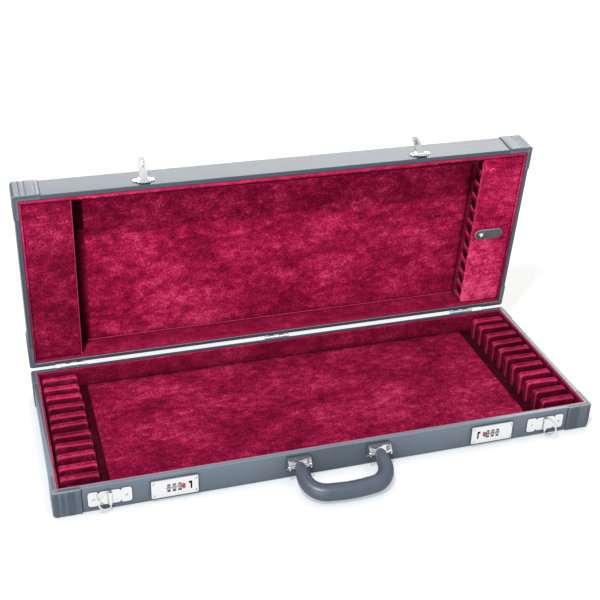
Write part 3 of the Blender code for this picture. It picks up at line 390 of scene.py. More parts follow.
# %% [markdown]
# ## Working on a lid that stands open
# The lid is modelled open, and a tilted box is hard to think about. The record tells us where its
# hinge is and how far it has turned, so we can draw every lid piece as if the lid were shut, flat
# over the tray, and let one matrix carry it open.

# %% Carrying pieces open with the lid
joint_of = {joint["name"]: joint for joint in frame["record"]["behaviour"]["joints"]}
lid_axis = Vector(joint_of["lid_hinge"]["pos_m"])
lid_angle = math.radians(-joint_of["lid_hinge"]["range_deg"][0])
open_lid = (Matrix.Translation(lid_axis) @ Matrix.Rotation(-lid_angle, 4, "X")
            @ Matrix.Translation(-lid_axis))
shut_lid = open_lid.inverted()
upright = Matrix.Identity(4)


def shut_box(node):
    """Lowest and highest corner of a lid solid, as it would lie with the lid shut."""
    places = [shut_lid @ vertex.co for vertex in nodes[node].data.vertices]
    return (Vector([min(p[i] for p in places) for i in range(3)]),
            Vector([max(p[i] for p in places) for i in range(3)]))


print("lid stands open", round(math.degrees(lid_angle), 1), "degrees")

# %% [markdown]
# ## Making pieces
# Every piece below is a bmesh that ends up as an object, takes a finish and rides on a body, and
# may hide the solids it stands for. One helper does all of that. A second one skins a row of rings,
# which is how most closed shapes here are made.

# %% Turning a mesh into a piece
def add_piece(name, bm, finish, body, angle=40, stands_for=(), others=()):
    bmesh.ops.recalc_face_normals(bm, faces=bm.faces)
    mesh = bpy.data.meshes.new(name)
    bm.to_mesh(mesh)
    bm.free()
    for layer in (finish, *others):
        mesh.materials.append(layer)
    mesh.shade_smooth()
    mesh.set_sharp_from_angle(angle=math.radians(angle))
    piece = bpy.data.objects.new(name, mesh)
    bpy.context.scene.collection.objects.link(piece)
    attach(piece, body)
    if stands_for:
        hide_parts(*stands_for)
    return piece


def skin(bm, rings, place=upright, closed=False):
    """Join equal rings of points into a closed body inside the mesh."""
    loops = [[bm.verts.new(place @ Vector(point)) for point in ring] for ring in rings]
    pairs = list(zip(loops[:-1], loops[1:]))
    if closed:
        pairs.append((loops[-1], loops[0]))
    else:
        bm.faces.new(loops[0])
        bm.faces.new(loops[-1])
    for low, high in pairs:
        for i in range(len(low)):
            j = (i + 1) % len(low)
            bm.faces.new((low[i], low[j], high[j], high[i]))


def circle(radius, sides, start=0.0):
    turns = [start + 2 * math.pi * i / sides for i in range(sides)]
    return [(radius * math.cos(turn), radius * math.sin(turn)) for turn in turns]


def bead(bm, points, radius, place):
    """A thin round bead through a few points."""
    rings = []
    for i, point in enumerate(points):
        ahead = (points[min(i + 1, len(points) - 1)] - points[max(i - 1, 0)]).normalized()
        side = ahead.orthogonal().normalized()
        other = ahead.cross(side)
        rings.append([point + side * a + other * b for a, b in circle(radius, 8)])
    skin(bm, rings, place)


def straight_bead(bm, start, end, radius, place, pieces=3):
    bead(bm, [start.lerp(end, i / pieces) for i in range(pieces + 1)], radius, place)


print("piece helpers ready")

# %% [markdown]
# ## Velvet over board
# The lining is card covered with thin wadding and velvet. Each board is flat where it is glued, is
# rolled over at its edges, swells a little in the middle, and its face is never quite even. So a
# board is a grid of points over a rectangle, packed closer where the edge rolls, and its height is
# the sum of those three things: the roll, the crown and a noise.

# %% A velvet-covered board
SWELL_SCALE = 30.0
CRUSH_SCALE = 160.0


def crush_of(point, seed):
    """Between about -1 and 1: slow swells of the wadding with the finer crush of the nap."""
    shift = Vector((seed * 1.7, seed * 0.9, seed * 2.3))
    slow = noise.noise(point * SWELL_SCALE + shift)
    fine = noise.noise(point * CRUSH_SCALE + shift)
    return 0.62 * slow + 0.38 * fine


def board_stations(length, roll, step):
    """Places along one side of a board, closer together where its edge rolls over."""
    bend = [roll * (1 - math.cos(math.pi / 2 * i / 4)) for i in range(4)]
    count = max(2, round((length - 2 * roll) / step))
    middle = [roll + (length - 2 * roll) * i / count for i in range(count + 1)]
    return bend + middle + [length - x for x in reversed(bend)]


def rolled(from_edge, roll):
    """How far the face has dropped at a distance from the edge."""
    if from_edge >= roll:
        return 0.0
    return roll - math.sqrt(max(0.0, roll * roll - (roll - from_edge) ** 2))


def board(bm, origin, along, across, sizes, place=upright, roll=0.0012, step=0.005, crown=0.0,
          crush=0.0003, seed=0):
    """Add one closed board; its velvet face looks along the cross product of its two sides."""
    length, width, thickness = sizes
    origin, along, across = Vector(origin), Vector(along), Vector(across)
    up = along.cross(across)
    us, vs = board_stations(length, roll, step), board_stations(width, roll, step)
    grid = []
    for u in us:
        row = []
        for v in vs:
            edge_u, edge_v = min(u, length - u), min(v, width - v)
            height = thickness - rolled(edge_u, roll) - rolled(edge_v, roll)
            height += crown * (1 - (2 * u / length - 1) ** 4) * (1 - (2 * v / width - 1) ** 4)
            spot = origin + along * u + across * v
            height += crush * crush_of(spot, seed) * min(1.0, min(edge_u, edge_v) / roll)
            row.append(bm.verts.new(place @ (spot + up * height)))
        grid.append(row)
    last_u, last_v = len(us) - 1, len(vs) - 1
    for i in range(last_u):
        for j in range(last_v):
            bm.faces.new((grid[i][j], grid[i + 1][j], grid[i + 1][j + 1], grid[i][j + 1]))
    border = ([(i, 0) for i in range(last_u)] + [(last_u, j) for j in range(last_v)]
              + [(i, last_v) for i in range(last_u, 0, -1)] + [(0, j) for j in range(last_v, 0, -1)])
    foot = [bm.verts.new(place @ (origin + along * us[i] + across * vs[j])) for i, j in border]
    for k, (i, j) in enumerate(border):
        after = (k + 1) % len(border)
        next_i, next_j = border[after]
        bm.faces.new((grid[i][j], foot[k], foot[after], grid[next_i][next_j]))
    bm.faces.new(foot)


X, Y, Z = Vector((1, 0, 0)), Vector((0, 1, 0)), Vector((0, 0, 1))


def lined_box(bm, low, high, walls, floor, floor_high, place=upright, seed=0):
    """Five boards that line a tray. Its rim, its walls and its floor take a finish each."""
    wall_x, wall_y = walls
    wide, deep = high.x - low.x, high.y - low.y
    if floor_high:
        board(bm, (low.x, low.y, high.z), Y, X, (deep, wide, floor), place, step=0.006, seed=seed)
        foot, tall = low.z, high.z - floor - low.z
    else:
        board(bm, low, X, Y, (wide, deep, floor), place, step=0.006, seed=seed)
        foot, tall = low.z + floor, high.z - low.z - floor
    inner = deep - 2 * wall_y
    floor_faces = len(bm.faces)
    board(bm, (low.x, low.y, foot), Z, X, (tall, wide, wall_y), place, seed=seed + 1)
    board(bm, (low.x, high.y, foot), X, Z, (wide, tall, wall_y), place, seed=seed + 2)
    board(bm, (low.x, low.y + wall_y, foot), Y, Z, (inner, tall, wall_x), place, seed=seed + 3)
    board(bm, (high.x, low.y + wall_y, foot), Z, Y, (tall, inner, wall_x), place, seed=seed + 4)
    bm.normal_update()
    bm.faces.ensure_lookup_table()
    bm.faces.index_update()
    rim = (place.to_3x3() @ Z).normalized()
    for face in bm.faces:
        if face.index < floor_faces:
            face.material_index = 2
        elif abs(face.normal.dot(rim)) < 0.6:
            face.material_index = 1


print("board helper ready")

# %% [markdown]
# ## Lining the tray
# Floor and four walls are five boards, laid out from the box that the plain lining filled. They
# are one piece, because they are glued in as one. Over the floor lies a loose padded board, a
# little crowned, that stops short of the dividers and leaves a dark channel round it.

# %% The tray's lining and its floor pad
BASE_LINING = 0.003
PAD_CROWN = 0.0012

lining = bmesh.new()
low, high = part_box("base_lining")
lined_box(lining, Vector(low), Vector(high), (BASE_LINING, BASE_LINING), BASE_LINING, False, seed=1)
# The walls take a darker copy of the velvet and the floor the darkest one: painted shade, darkest in the
# channel round the pad.
add_piece("tray_lining", lining, rim_wine, "case_base", stands_for=["base_lining"],
          others=(painted_shade_wine, painted_shadow_wine))

pad = bmesh.new()
low, high = (Vector(corner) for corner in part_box("base_floor_pad"))
high.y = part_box("base_lining")[1][1] - BASE_LINING
size = high - low
board(pad, low, X, Y, (size.x, size.y, size.z), roll=0.002, step=0.004, crown=PAD_CROWN,
      crush=0.0005, seed=9)
floor_pad = add_piece("floor_pad", pad, pad_wine, "case_base", stands_for=["base_floor_pad"])
print("floor pad", round(size.x, 3), "by", round(size.y, 3), "m")

# %% [markdown]
# ## Solids that turn soft
# The dividers are small and thick, so a grid over one face isn't enough: they need cloth all the
# way round. We copy the solid, remesh it into small even faces, ease its edges by smoothing, and
# push every point in or out along its normal with the same crush as the boards. No two dividers
# were glued in alike, so each one also leans and turns by a hair.

# %% Velvet all the way round
def soft_mesh(node, voxel, crush, seed, ease=2):
    """A remeshed, eased and crushed copy of a solid, as a bmesh."""
    source = bpy.data.objects.new("source", nodes[node].data.copy())
    bpy.context.scene.collection.objects.link(source)
    remesh = source.modifiers.new("even faces", "REMESH")
    remesh.mode = "VOXEL"
    remesh.voxel_size = voxel
    view = bpy.context.evaluated_depsgraph_get()
    bm = bmesh.new()
    bm.from_object(source, view)
    bpy.data.objects.remove(source, do_unlink=True)
    for _ in range(ease):
        bmesh.ops.smooth_vert(bm, verts=bm.verts, factor=0.5, use_axis_x=True, use_axis_y=True,
                              use_axis_z=True)
    bm.normal_update()
    moves = [(vert, vert.normal * (crush * (0.5 + crush_of(vert.co, seed)))) for vert in bm.verts]
    for vert, move in moves:
        vert.co += move
    return bm


def settle(bm, foot, lean, tip, turn, slip):
    """Lean, tip and turn a mesh by small angles about a point at its foot, and slip it along X."""
    pose = (Matrix.Translation(foot + X * slip) @ Matrix.Rotation(turn, 4, "Z")
            @ Matrix.Rotation(tip, 4, "Y")
            @ Matrix.Rotation(lean, 4, "X") @ Matrix.Translation(-foot))
    bmesh.ops.transform(bm, matrix=pose, verts=bm.verts)


DIVIDER_SLIP = 0.0009
DIVIDER_LEANS = (2.2, 0.8, 1.6)
hand = random.Random(12)
divider_names = sorted(name for name in nodes if name.startswith("divider_"))
for number, name in enumerate(divider_names):
    low, high = (Vector(corner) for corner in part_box(name))
    soft = soft_mesh(name, 0.0012, 0.0004, 20 + number, 1)
    foot = Vector(((low.x + high.x) / 2, (low.y + high.y) / 2, low.z))
    lean, tip, turn = (math.radians(hand.uniform(-most, most)) for most in DIVIDER_LEANS)
    settle(soft, foot, lean, tip, turn, hand.uniform(-DIVIDER_SLIP, DIVIDER_SLIP))
    piece = add_piece(f"velvet_{name}", soft, hand.choice(divider_wines), "case_base", stands_for=[name])
print("soft dividers:", len(divider_names))

# %% [markdown]
# ## Lining the lid
# The lid is lined in the same way, drawn shut and carried open. Its long walls are thickly padded,
# and the velvet of its upper one sags a few millimetres. A padded board lies in the recess.
# At its left end a covered box stands on the lining, closed all round: what shows is its face,
# nearly level with the rim, and the wall that looks into the recess.

# %% The lid's lining and its end box
LID_FLOOR_LINING = 0.003
LID_END_LINING = 0.003
LID_WALL_LINING = 0.0055
SAG_RISE = 0.0012
SAG = (0.0040, 0.0018)
SAG_FADE = 0.012
PANEL_BOARD = 0.0025
PANEL_GAP = 0.007
BOX_SHADE = 0.017
SHADE_TURN = -0.070
WELT_RADIUS = 0.0007
BOX_SHEET = 0.004

lining = bmesh.new()
low, high = shut_box("lid_lining")
lined_box(lining, low, high, (LID_END_LINING, LID_WALL_LINING), LID_FLOOR_LINING, True, open_lid, 40)
face_y, panel_z = low.y + LID_WALL_LINING, high.z - LID_FLOOR_LINING
box_edge, right_end = shut_box("lid_end_box")[1].x, shut_box("compartment_wall")[0].x
for vert in lining.verts:
    spot = shut_lid @ vert.co
    if abs(spot.y - face_y) < 0.0014 and spot.z < panel_z - 0.001:
        inside = min(spot.x - box_edge, right_end - spot.x) / SAG_FADE
        inside = min(1.0, max(0.0, inside))
        deep = spot.z - low.z
        bulge = min(1.0, deep / SAG_RISE) * max(0.0, 1 - deep / (panel_z - low.z)) ** 0.5
        vert.co += (open_lid.to_3x3() @ Y) * bulge * inside * (SAG[0] + SAG[1] * (spot.x / high.x))
# Painted light and shade on the lid's lining. The sagging velvet under the upper rim takes the darkest
# copy as a painted shadow line, and that rim's edge takes a lighter copy as painted light. The floor
# takes the darkest copy as painted shadow, except inside the accessory box, and the walls take the
# darker wall copy as painted shade.
for face in lining.faces:
    spot = shut_lid @ face.calc_center_median()
    if spot.z < low.z + 0.0015 and spot.y < 0:
        face.material_index = 2 if spot.y > face_y + 0.0004 and box_edge < spot.x < right_end else 4
    elif face.material_index == 2 and spot.x > right_end:
        face.material_index = 3
add_piece("lid_lining_velvet", lining, rim_wine, "lid", stands_for=["lid_lining"],
          others=(painted_shade_wine, painted_shadow_wine, wine, lit_strip_wine))

panel = bmesh.new()
left = box_edge + PANEL_GAP
deep_y = high.y - LID_WALL_LINING
board(panel, (left, face_y, panel_z + 0.0005), Y, X, (deep_y - face_y, right_end - left, PANEL_BOARD),
      open_lid, roll=0.0016, crown=0.0006, crush=0.0006, seed=45)
# Painted shadow of the end box: the panel's strip beside it takes the darker wall copy, and the darkest
# copy in its upper part.
for face in panel.faces:
    spot = shut_lid @ face.calc_center_median()
    if spot.x < box_edge + BOX_SHADE:
        face.material_index = 2 if spot.y < SHADE_TURN else 1
add_piece("lid_panel_velvet", panel, wine, "lid", others=(painted_shade_wine, painted_shadow_wine))

welts = bmesh.new()
sunk = WELT_RADIUS * 0.4
z = panel_z - PANEL_BOARD + sunk
straight_bead(welts, Vector((left, deep_y - sunk, z)), Vector((right_end, deep_y - sunk, z)),
              WELT_RADIUS, open_lid, 60)
z = shut_box("lid_end_box")[0].z + sunk
straight_bead(welts, Vector((box_edge - sunk, face_y, z)), Vector((box_edge - sunk, deep_y, z)),
              WELT_RADIUS, open_lid, 40)
add_piece("lid_welts", welts, welt_wine, "lid")

end_box = bmesh.new()
low, high = shut_box("lid_end_box")
size = high - low
board(end_box, (low.x, low.y, low.z + BOX_SHEET), Y, X, (size.y, size.x, BOX_SHEET), open_lid,
      roll=0.0014, step=0.004, crown=0.0006, crush=0.0005, seed=50)
for origin, along, across, sides in (
        ((high.x - BOX_SHEET, low.y, low.z + BOX_SHEET), Y, Z, (size.y, size.z - BOX_SHEET)),
        ((low.x + BOX_SHEET, low.y, low.z + BOX_SHEET), Z, Y, (size.z - BOX_SHEET, size.y))):
    board(end_box, origin, along, across, (*sides, BOX_SHEET), open_lid, seed=51)
piece = add_piece("end_box_velvet", end_box, box_wine, "lid", stands_for=["lid_end_box"])
print("end box", round(size.x, 3), "by", round(size.y, 3), "m")

# %% [markdown]
# ## The accessory box at the right end
# Its inner wall has a notch opposite every divider, and its padded cover swings on the right edge.
# Both are small enough to remesh. The cover carries a leather tab with a snap, and near its upper
# corner the round head of a stud stands out under the cloth.

# %% The notched wall and the padded cover
COVER_GROWTH = 0.0006
STUD_PLACE = (0.3384, -0.1168)
STUD_RADIUS = 0.0052
STUD_RISE = 0.0021
STUD_PROFILE = ((1.0, -0.3), (1.0, 0.3), (0.94, 0.6), (0.78, 0.84), (0.5, 0.96), (0.18, 1.0))

wall = soft_mesh("compartment_wall", 0.0016, 0.0004, 60)
# Its velvet is a darker copy with painted light: painted highlights on the upward ledges of the notches,
# and lighter towards its foot.
add_piece("notched_wall_velvet", wall, notch_wine, "lid", stands_for=["compartment_wall"])
cover = soft_mesh("compartment_cover", 0.0018, 0.0005, 61)
low, high = shut_box("compartment_cover")
for vert in cover.verts:
    spot = shut_lid @ vert.co
    spot.x += COVER_GROWTH * max(0.0, (spot.x - low.x) / (high.x - low.x))
    spot.y += COVER_GROWTH * spot.y / high.y
    vert.co = open_lid @ spot
# The cover takes a lighter copy of the velvet, lighter still towards its foot: painted light.
cover_piece = add_piece("cover_velvet", cover, lit_cover_wine, "cover",
                        stands_for=["compartment_cover"])
# The stud's velvet is a much lighter copy: a painted highlight.
stud, foot = bmesh.new(), shut_box("pull_tab")[1].z
skin(stud, [[(STUD_PLACE[0] + x, STUD_PLACE[1] + y, foot - STUD_RISE * rise)
             for x, y in circle(STUD_RADIUS * share, 24)] for share, rise in STUD_PROFILE], open_lid)
add_piece("stud_velvet", stud, lit_stud_wine, "cover", 60)
print("cover faces:", len(cover_piece.data.polygons))

# %% [markdown]
# ## The leather pull tab
# The tab is a strip of leather with round ends. Its cut edge is painted and a line of stitches runs
# just inside it. We skin it from stadium-shaped outlines, and drop a short thread capsule at equal
# steps along a smaller stadium.

# %% The tab and its stitches
STITCH_LENGTH = 0.0022
STITCH_RADIUS = 0.00028


def stadium(half_x, half_y, steps=14):
    """Outline of a strip with round ends, along X."""
    reach = half_x - half_y
    right = [(reach + half_y * math.sin(math.pi * i / steps), -half_y * math.cos(math.pi * i / steps))
             for i in range(steps + 1)]
    return right + [(-x, -y) for x, y in right]


def walk(outline, step):
    """Points and directions at equal steps along a closed outline."""
    spots, carried = [], 0.0
    for i, start in enumerate(outline):
        start, end = Vector(start), Vector(outline[(i + 1) % len(outline)])
        length = (end - start).length
        while carried < length:
            spots.append((start.lerp(end, carried / length), (end - start).normalized()))
            carried += step
        carried -= length
    return spots


def stitch(bm, middle, direction, normal, place=upright):
    """A capsule of thread, half sunk where it dives into the leather at both ends."""
    direction, normal = direction.normalized(), normal.normalized()
    across = normal.cross(direction)
    rings = []
    for share, thick, rise in ((-0.5, 0.5, -0.6), (-0.3, 0.95, 0.2), (0.0, 1.0, 0.5), (0.3, 0.95, 0.2),
                               (0.5, 0.5, -0.6)):
        center = middle + direction * (share * STITCH_LENGTH) + normal * (rise * STITCH_RADIUS)
        rings.append([center + (across * a + normal * b) * thick for a, b in circle(STITCH_RADIUS, 6)])
    skin(bm, rings, place)


tab_low, tab_high = shut_box("pull_tab")
tab_half = (tab_high - tab_low) / 2
tab_middle = (tab_high + tab_low) / 2
tab = bmesh.new()
rings = []
for inset, depth in ((0.0005, 0.0), (0.0001, 0.2), (0.0, 0.4), (0.0002, 0.75), (0.0010, 1.0)):
    outline = stadium(tab_half.x - inset, tab_half.y - inset)
    z = tab_high.z + (tab_low.z - tab_high.z) * depth
    rings.append([(tab_middle.x + x, tab_middle.y + y, z) for x, y in outline])
skin(tab, rings, open_lid)
for face in tab.faces:
    face.material_index = 0 if len(face.verts) > 4 else 1
add_piece("tab_leather", tab, strap_leather, "cover", stands_for=["pull_tab"],
          others=(pale_edge,))

seam = bmesh.new()
for spot, direction in walk(stadium(tab_half.x - 0.0021, tab_half.y - 0.0021), 0.0032):
    middle = Vector((tab_middle.x + spot.x, tab_middle.y + spot.y, tab_low.z))
    stitch(seam, middle, direction.to_3d(), -Z, open_lid)
add_piece("tab_stitches", seam, thread, "cover")
print("tab", round(2000 * tab_half.x), "mm long with a seam round it")

# %% [markdown]
# ## The padded handle
# The grip is a leather tube bent into a bow and stitched shut along its inner side, where the two
# edges meet in a low welt. We sweep a ring along the bow. The ring grows from the pins to the palm,
# and one side of it is pushed out for the welt. The seam's stitches sit on both sides of the welt.

# %% The shape of the grip
HALF_SPAN = 0.0598
REACH = 0.0513
BOW_CORNER = 0.030
BOW_CROWN = 0.002
CAP_LENGTH = 0.0052
NECK_LENGTH = 0.018
PIN_END, ARM, PALM = 0.0066, 0.0098, 0.0125
WELT_RISE = 0.0009
WELT_SIDE = 0.28
FLOOR_CLEARANCE = 0.0004
handle_axis = Vector(joint_of["handle_swing"]["pos_m"])
drop = handle_axis.z - PALM - FLOOR_CLEARANCE
slope = math.asin(drop / (REACH + BOW_CROWN))
on_handle = Matrix.Translation(handle_axis) @ Matrix.Rotation(slope, 4, "X")


def grip_line():
    """Places (along the case, away from it) on the middle line of the grip, from pin to pin."""
    straight, inner = REACH - BOW_CORNER, HALF_SPAN - BOW_CORNER
    half = [(-HALF_SPAN, -CAP_LENGTH * share) for share in (1.0, 0.97, 0.9, 0.78, 0.6, 0.35)]
    half += [(-HALF_SPAN, straight * i / 6) for i in range(6)]
    for i in range(15):
        turn = math.pi - math.pi / 2 * i / 14
        half.append((-inner + BOW_CORNER * math.cos(turn), straight + BOW_CORNER * math.sin(turn)))
    half += [(inner * t, REACH + BOW_CROWN * (1 - t * t)) for t in (-0.8, -0.6, -0.4, -0.2)]
    return half + [(0.0, REACH + BOW_CROWN)] + [(-x, reach) for x, reach in reversed(half)]


def grip_radius(reach):
    if reach < 0.0:
        return PIN_END * math.sqrt(1 - 0.93 * (reach / CAP_LENGTH) ** 2)
    share = min(1.0, reach / REACH)
    neck = math.sin(min(1.0, reach / NECK_LENGTH) * math.pi / 2)
    return PIN_END + (ARM - PIN_END) * neck + (PALM - ARM) * share * share


line = [Vector(point) for point in grip_line()]
print("grip line of", len(line), "places, slope", round(math.degrees(slope), 1))

# %% Sweeping the grip
GRIP_SIDES = 40
grip = bmesh.new()
seam = bmesh.new()
rings = []
walked = 0.0
for i, spot in enumerate(line):
    ahead = (line[min(i + 1, len(line) - 1)] - line[max(i - 1, 0)]).normalized()
    outward = Vector((-ahead.y, ahead.x))
    radius = grip_radius(spot.y)
    ring = []
    for side in range(GRIP_SIDES):
        turn = 2 * math.pi * side / GRIP_SIDES
        off_seam = math.atan2(math.sin(turn - math.pi), math.cos(turn - math.pi))
        welt = WELT_RISE * math.exp(-(off_seam / WELT_SIDE) ** 4) if spot.y > 0 else 0.0
        away = (radius + welt) * math.cos(turn)
        high = radius * math.sin(turn) * (1.0 - 0.05 * min(1.0, max(0.0, spot.y) / REACH))
        ring.append((spot.x + outward.x * away, -(spot.y + outward.y * away), high))
    rings.append(ring)
skin(grip, rings, on_handle)
grip_piece = add_piece("grip_leather", grip, grip_leather, "handle", 60,
                       stands_for=["handle_grip"])
print("grip faces:", len(grip_piece.data.polygons))

# %% Stitches beside the welt
SEAM_STEP = 0.0042
SEAM_TURN = 0.62
carried = 0.0
stitches = 0
for start, end in zip(line[:-1], line[1:]):
    length = (end - start).length
    while carried < length:
        spot = start.lerp(end, carried / length)
        ahead = (end - start).normalized()
        carried += SEAM_STEP
        if spot.y < 0.006:
            continue
        outward = Vector((-ahead.y, ahead.x))
        for flip in (-1, 1):
            away = -math.cos(SEAM_TURN)
            high = flip * math.sin(SEAM_TURN)
            normal = Vector((outward.x * away, -outward.y * away, high))
            middle = Vector((spot.x, -spot.y, 0.0)) + normal * grip_radius(spot.y)
            stitch(seam, middle, Vector((ahead.x, -ahead.y, 0.0)), normal, on_handle)
            stitches += 1
    carried -= length
add_piece("grip_stitches", seam, thread, "handle")
print("stitches on the grip:", stitches)

# %% [markdown]
# ## Corner coverings
# At its corners the case is covered twice: a second piece of leatherette is folded round each
# corner, from rim to panel, and pressed flat in pleats. The solid has the raised band. Here we lay
# the real covering on it. It is a sheet that follows a profile, over the rim, down the wall and
# round the panel's edge, and is swept round the corner. Grooves between the pleats are narrow dips
# of its height. The left corners were pleated widely and the right ones finely.

# %% The covering's path and profile
PATCH_LEG = 0.0374
PATCH_RISE = 0.00155
PATCH_UNDER = 0.0004
PATCH_RIM_RISE = 0.00015
SHARP_CORNER, PANEL_CORNER, CORNER_FADE = 0.0025, 0.0048, 0.010
PANEL_EDGE = 0.0026
RIM_EDGE = 0.0008
RIM_REACH = 0.0062
MITRE_SLIDE = 0.00002
GROOVE_WIDTH = 0.0006
GROOVE_DEPTH = 0.0009


def pleat_stations(grooves):
    """Distances from the corner at which the covering needs a row of points."""
    places = {0.0, PATCH_LEG, PATCH_LEG - 0.0004, 0.001, 0.002, 0.003, 0.0045, 0.006, 0.0075}
    for groove in grooves:
        places.update(groove + GROOVE_WIDTH * share for share in (-1.6, -0.8, 0.0, 0.8, 1.6))
    places.update(0.004 * i for i in range(2, 9))
    spread = sorted(places)
    return [-place for place in reversed(spread) if place] + spread


def pleat_height(distance, grooves):
    """Height of the covering over the wall at a distance from the corner."""
    height = PATCH_RISE
    for groove in grooves:
        height -= GROOVE_DEPTH * math.exp(-((abs(distance) - groove) / GROOVE_WIDTH) ** 2)
    if abs(distance) > PATCH_LEG - 0.0002:
        height -= 0.0004
    return height


def corner_profile(panel_z, rim_z):
    """(inset, z, outward share, upward share, rise share) from the panel's edge over the rim."""
    toward_rim = 1 if rim_z > panel_z else -1
    rows = []
    for i in range(1, 5):
        turn = math.pi / 2 * i / 4
        rows.append((PANEL_EDGE * (1 - math.sin(turn)), panel_z + toward_rim * PANEL_EDGE
                     * (1 - math.cos(turn)), math.sin(turn), -toward_rim * math.cos(turn), 1.0))
    height = abs(rim_z - panel_z)
    for share in (0.18, 0.3, 0.45, 0.6, 0.75, 0.9):
        rows.append((0.0, panel_z + toward_rim * height * share, 1.0, 0.0, 1.0))
    for i in range(4):
        turn = math.pi / 2 * i / 3
        rows.append((RIM_EDGE * (1 - math.cos(turn)), rim_z - toward_rim * RIM_EDGE
                     * (1 - math.sin(turn)), math.cos(turn), 0.0, 1.0 - 0.15 * i))
    rows.append((RIM_EDGE + 0.0006, rim_z + toward_rim * PATCH_RIM_RISE, 0.0, 0.0, 0.0))
    rows.append((RIM_REACH, rim_z + toward_rim * PATCH_RIM_RISE, 0.0, 0.0, 0.0))
    return rows


print("stations with three grooves:", len(pleat_stations((0.009, 0.017, 0.031))))

# %% Folding a covering round a corner
def corner_radius(z, panel_z):
    """The corner is sharp at the rim and softer at the panel, as the solid's is."""
    share = min(1.0, max(0.0, (abs(z - panel_z) - PANEL_EDGE) / (CORNER_FADE - PANEL_EDGE)))
    return PANEL_CORNER + (SHARP_CORNER - PANEL_CORNER) * share


def round_corner(distance, radius, corner, inset):
    """Place and outward direction at a signed distance along the outline from its corner."""
    sign_x, sign_y = math.copysign(1, corner.x), math.copysign(1, corner.y)
    if inset >= radius and abs(distance) < inset:
        slide = MITRE_SLIDE * distance / inset
        spot = Vector((corner.x - sign_x * (inset - slide), corner.y - sign_y * (inset + slide)))
        return spot, Vector((sign_x, sign_y)).normalized()
    if abs(distance) >= radius:
        if distance < 0:
            return Vector((corner.x + sign_x * distance, corner.y - sign_y * inset)), Vector((0, sign_y))
        return Vector((corner.x - sign_x * inset, corner.y - sign_y * distance)), Vector((sign_x, 0))
    turn = (distance + radius) / (2 * radius) * math.pi / 2
    outward = Vector((sign_x * math.sin(turn), sign_y * math.cos(turn)))
    center = Vector((corner.x - sign_x * radius, corner.y - sign_y * radius))
    return center + outward * (radius - inset), outward


def corner_covering(corner, panel_z, rim_z, grooves, place):
    profile = corner_profile(panel_z, rim_z)
    bm = bmesh.new()
    rings = []
    for distance in pleat_stations(grooves):
        height = pleat_height(distance, grooves)
        over, under = [], []
        for inset, z, out_share, up_share, rise_share in profile:
            spot, outward = round_corner(distance, corner_radius(z, panel_z), corner, inset)
            rise = height * rise_share
            lifted = max(z + rise * up_share, FLOOR_CLEARANCE)
            over.append((*(spot + outward * rise * out_share), lifted))
            sunk = -PATCH_UNDER
            under.append((*(spot + outward * sunk * max(out_share, 0.3)), z + sunk * up_share))
        under[-1] = (under[-1][0], under[-1][1], rim_z)
        under[-2] = (under[-2][0], under[-2][1], rim_z)
        rings.append(over + under[::-1])
    skin(bm, rings, place)
    return bm


WIDE_PLEATS = (0.0088, 0.0170, 0.0310)
FINE_PLEATS = (0.0062, 0.0084, 0.0106, 0.0130, 0.0165)
shell_low, shell_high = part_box("base_shell")
lid_low, lid_high = shut_box("lid_shell")
PATCH_PROUD = 0.0012
corners = []
for word_x, sign_x, grooves in (("left", -1, WIDE_PLEATS), ("right", 1, FINE_PLEATS)):
    for word_y, sign_y in (("front", -1), ("back", 1)):
        corner = Vector((sign_x * (shell_high.x - PATCH_PROUD), sign_y * (shell_high.y - PATCH_PROUD)))
        for part, panel_z, rim_z, body, place in (
                ("base", shell_low.z, shell_high.z, "case_base", upright),
                ("lid", lid_high.z, lid_low.z, "lid", open_lid)):
            covering = corner_covering(corner, panel_z, rim_z, grooves, place)
            name = f"corner_{part}_{word_y}_{word_x}"
            corners.append(add_piece(name, covering, slate, body, 50))
print("corner coverings:", len(corners))

# %% [markdown]
# ## Shadow beads and rim lips
# Where a corner covering ends it steps down to the wall, and the shadow in that step is nearly all
# we see of it in the picture. A thin dark bead lies in that step as a painted shadow. And along the
# inside of each rim the turned leatherette ends in a thin bead before the velvet starts: pale along
# the front of the base and the back of the lid, dark along the others.

# %% Beads along the coverings and lips along the rims
BEAD_RADIUS = 0.00055
BEAD_LEG = 0.0380


half_x, half_y = shell_high.x - PATCH_PROUD, shell_high.y - PATCH_PROUD
for part, panel_z, rim_z, body, place in (
        ("base", shell_low.z, shell_high.z, "case_base", upright),
        ("lid", lid_high.z, lid_low.z, "lid", open_lid)):
    toward_rim = 1 if rim_z > panel_z else -1
    foot, top = panel_z + toward_rim * PANEL_EDGE, rim_z - toward_rim * RIM_EDGE
    beads = bmesh.new()
    for sign_x in (-1, 1):
        for sign_y in (-1, 1):
            x, y = sign_x * (half_x - BEAD_LEG), sign_y * half_y
            straight_bead(beads, Vector((x, y, foot)), Vector((x, y, top)), BEAD_RADIUS, place)
            x, y = sign_x * half_x, sign_y * (half_y - BEAD_LEG)
            straight_bead(beads, Vector((x, y, foot)), Vector((x, y, top)), BEAD_RADIUS, place)
    # Dark beads in the steps where the coverings end: painted shadow.
    add_piece(f"corner_shadow_beads_{part}", beads, ink, body)
print("corner beads on", body, "and case_base")

LIP_INSET = 0.00665
LIP_RADIUS = 0.00045
LIP_SINK = 0.00022


def rim_lip(name, finish, body, z, sink, ends, place):
    """A bead that lies sunk in the inner edge of a rim, through a row of corners."""
    bm = bmesh.new()
    for start, end in zip(ends[:-1], ends[1:]):
        straight_bead(bm, Vector((*start, z + sink)), Vector((*end, z + sink)), LIP_RADIUS, place, 4)
    add_piece(name, bm, finish, body)


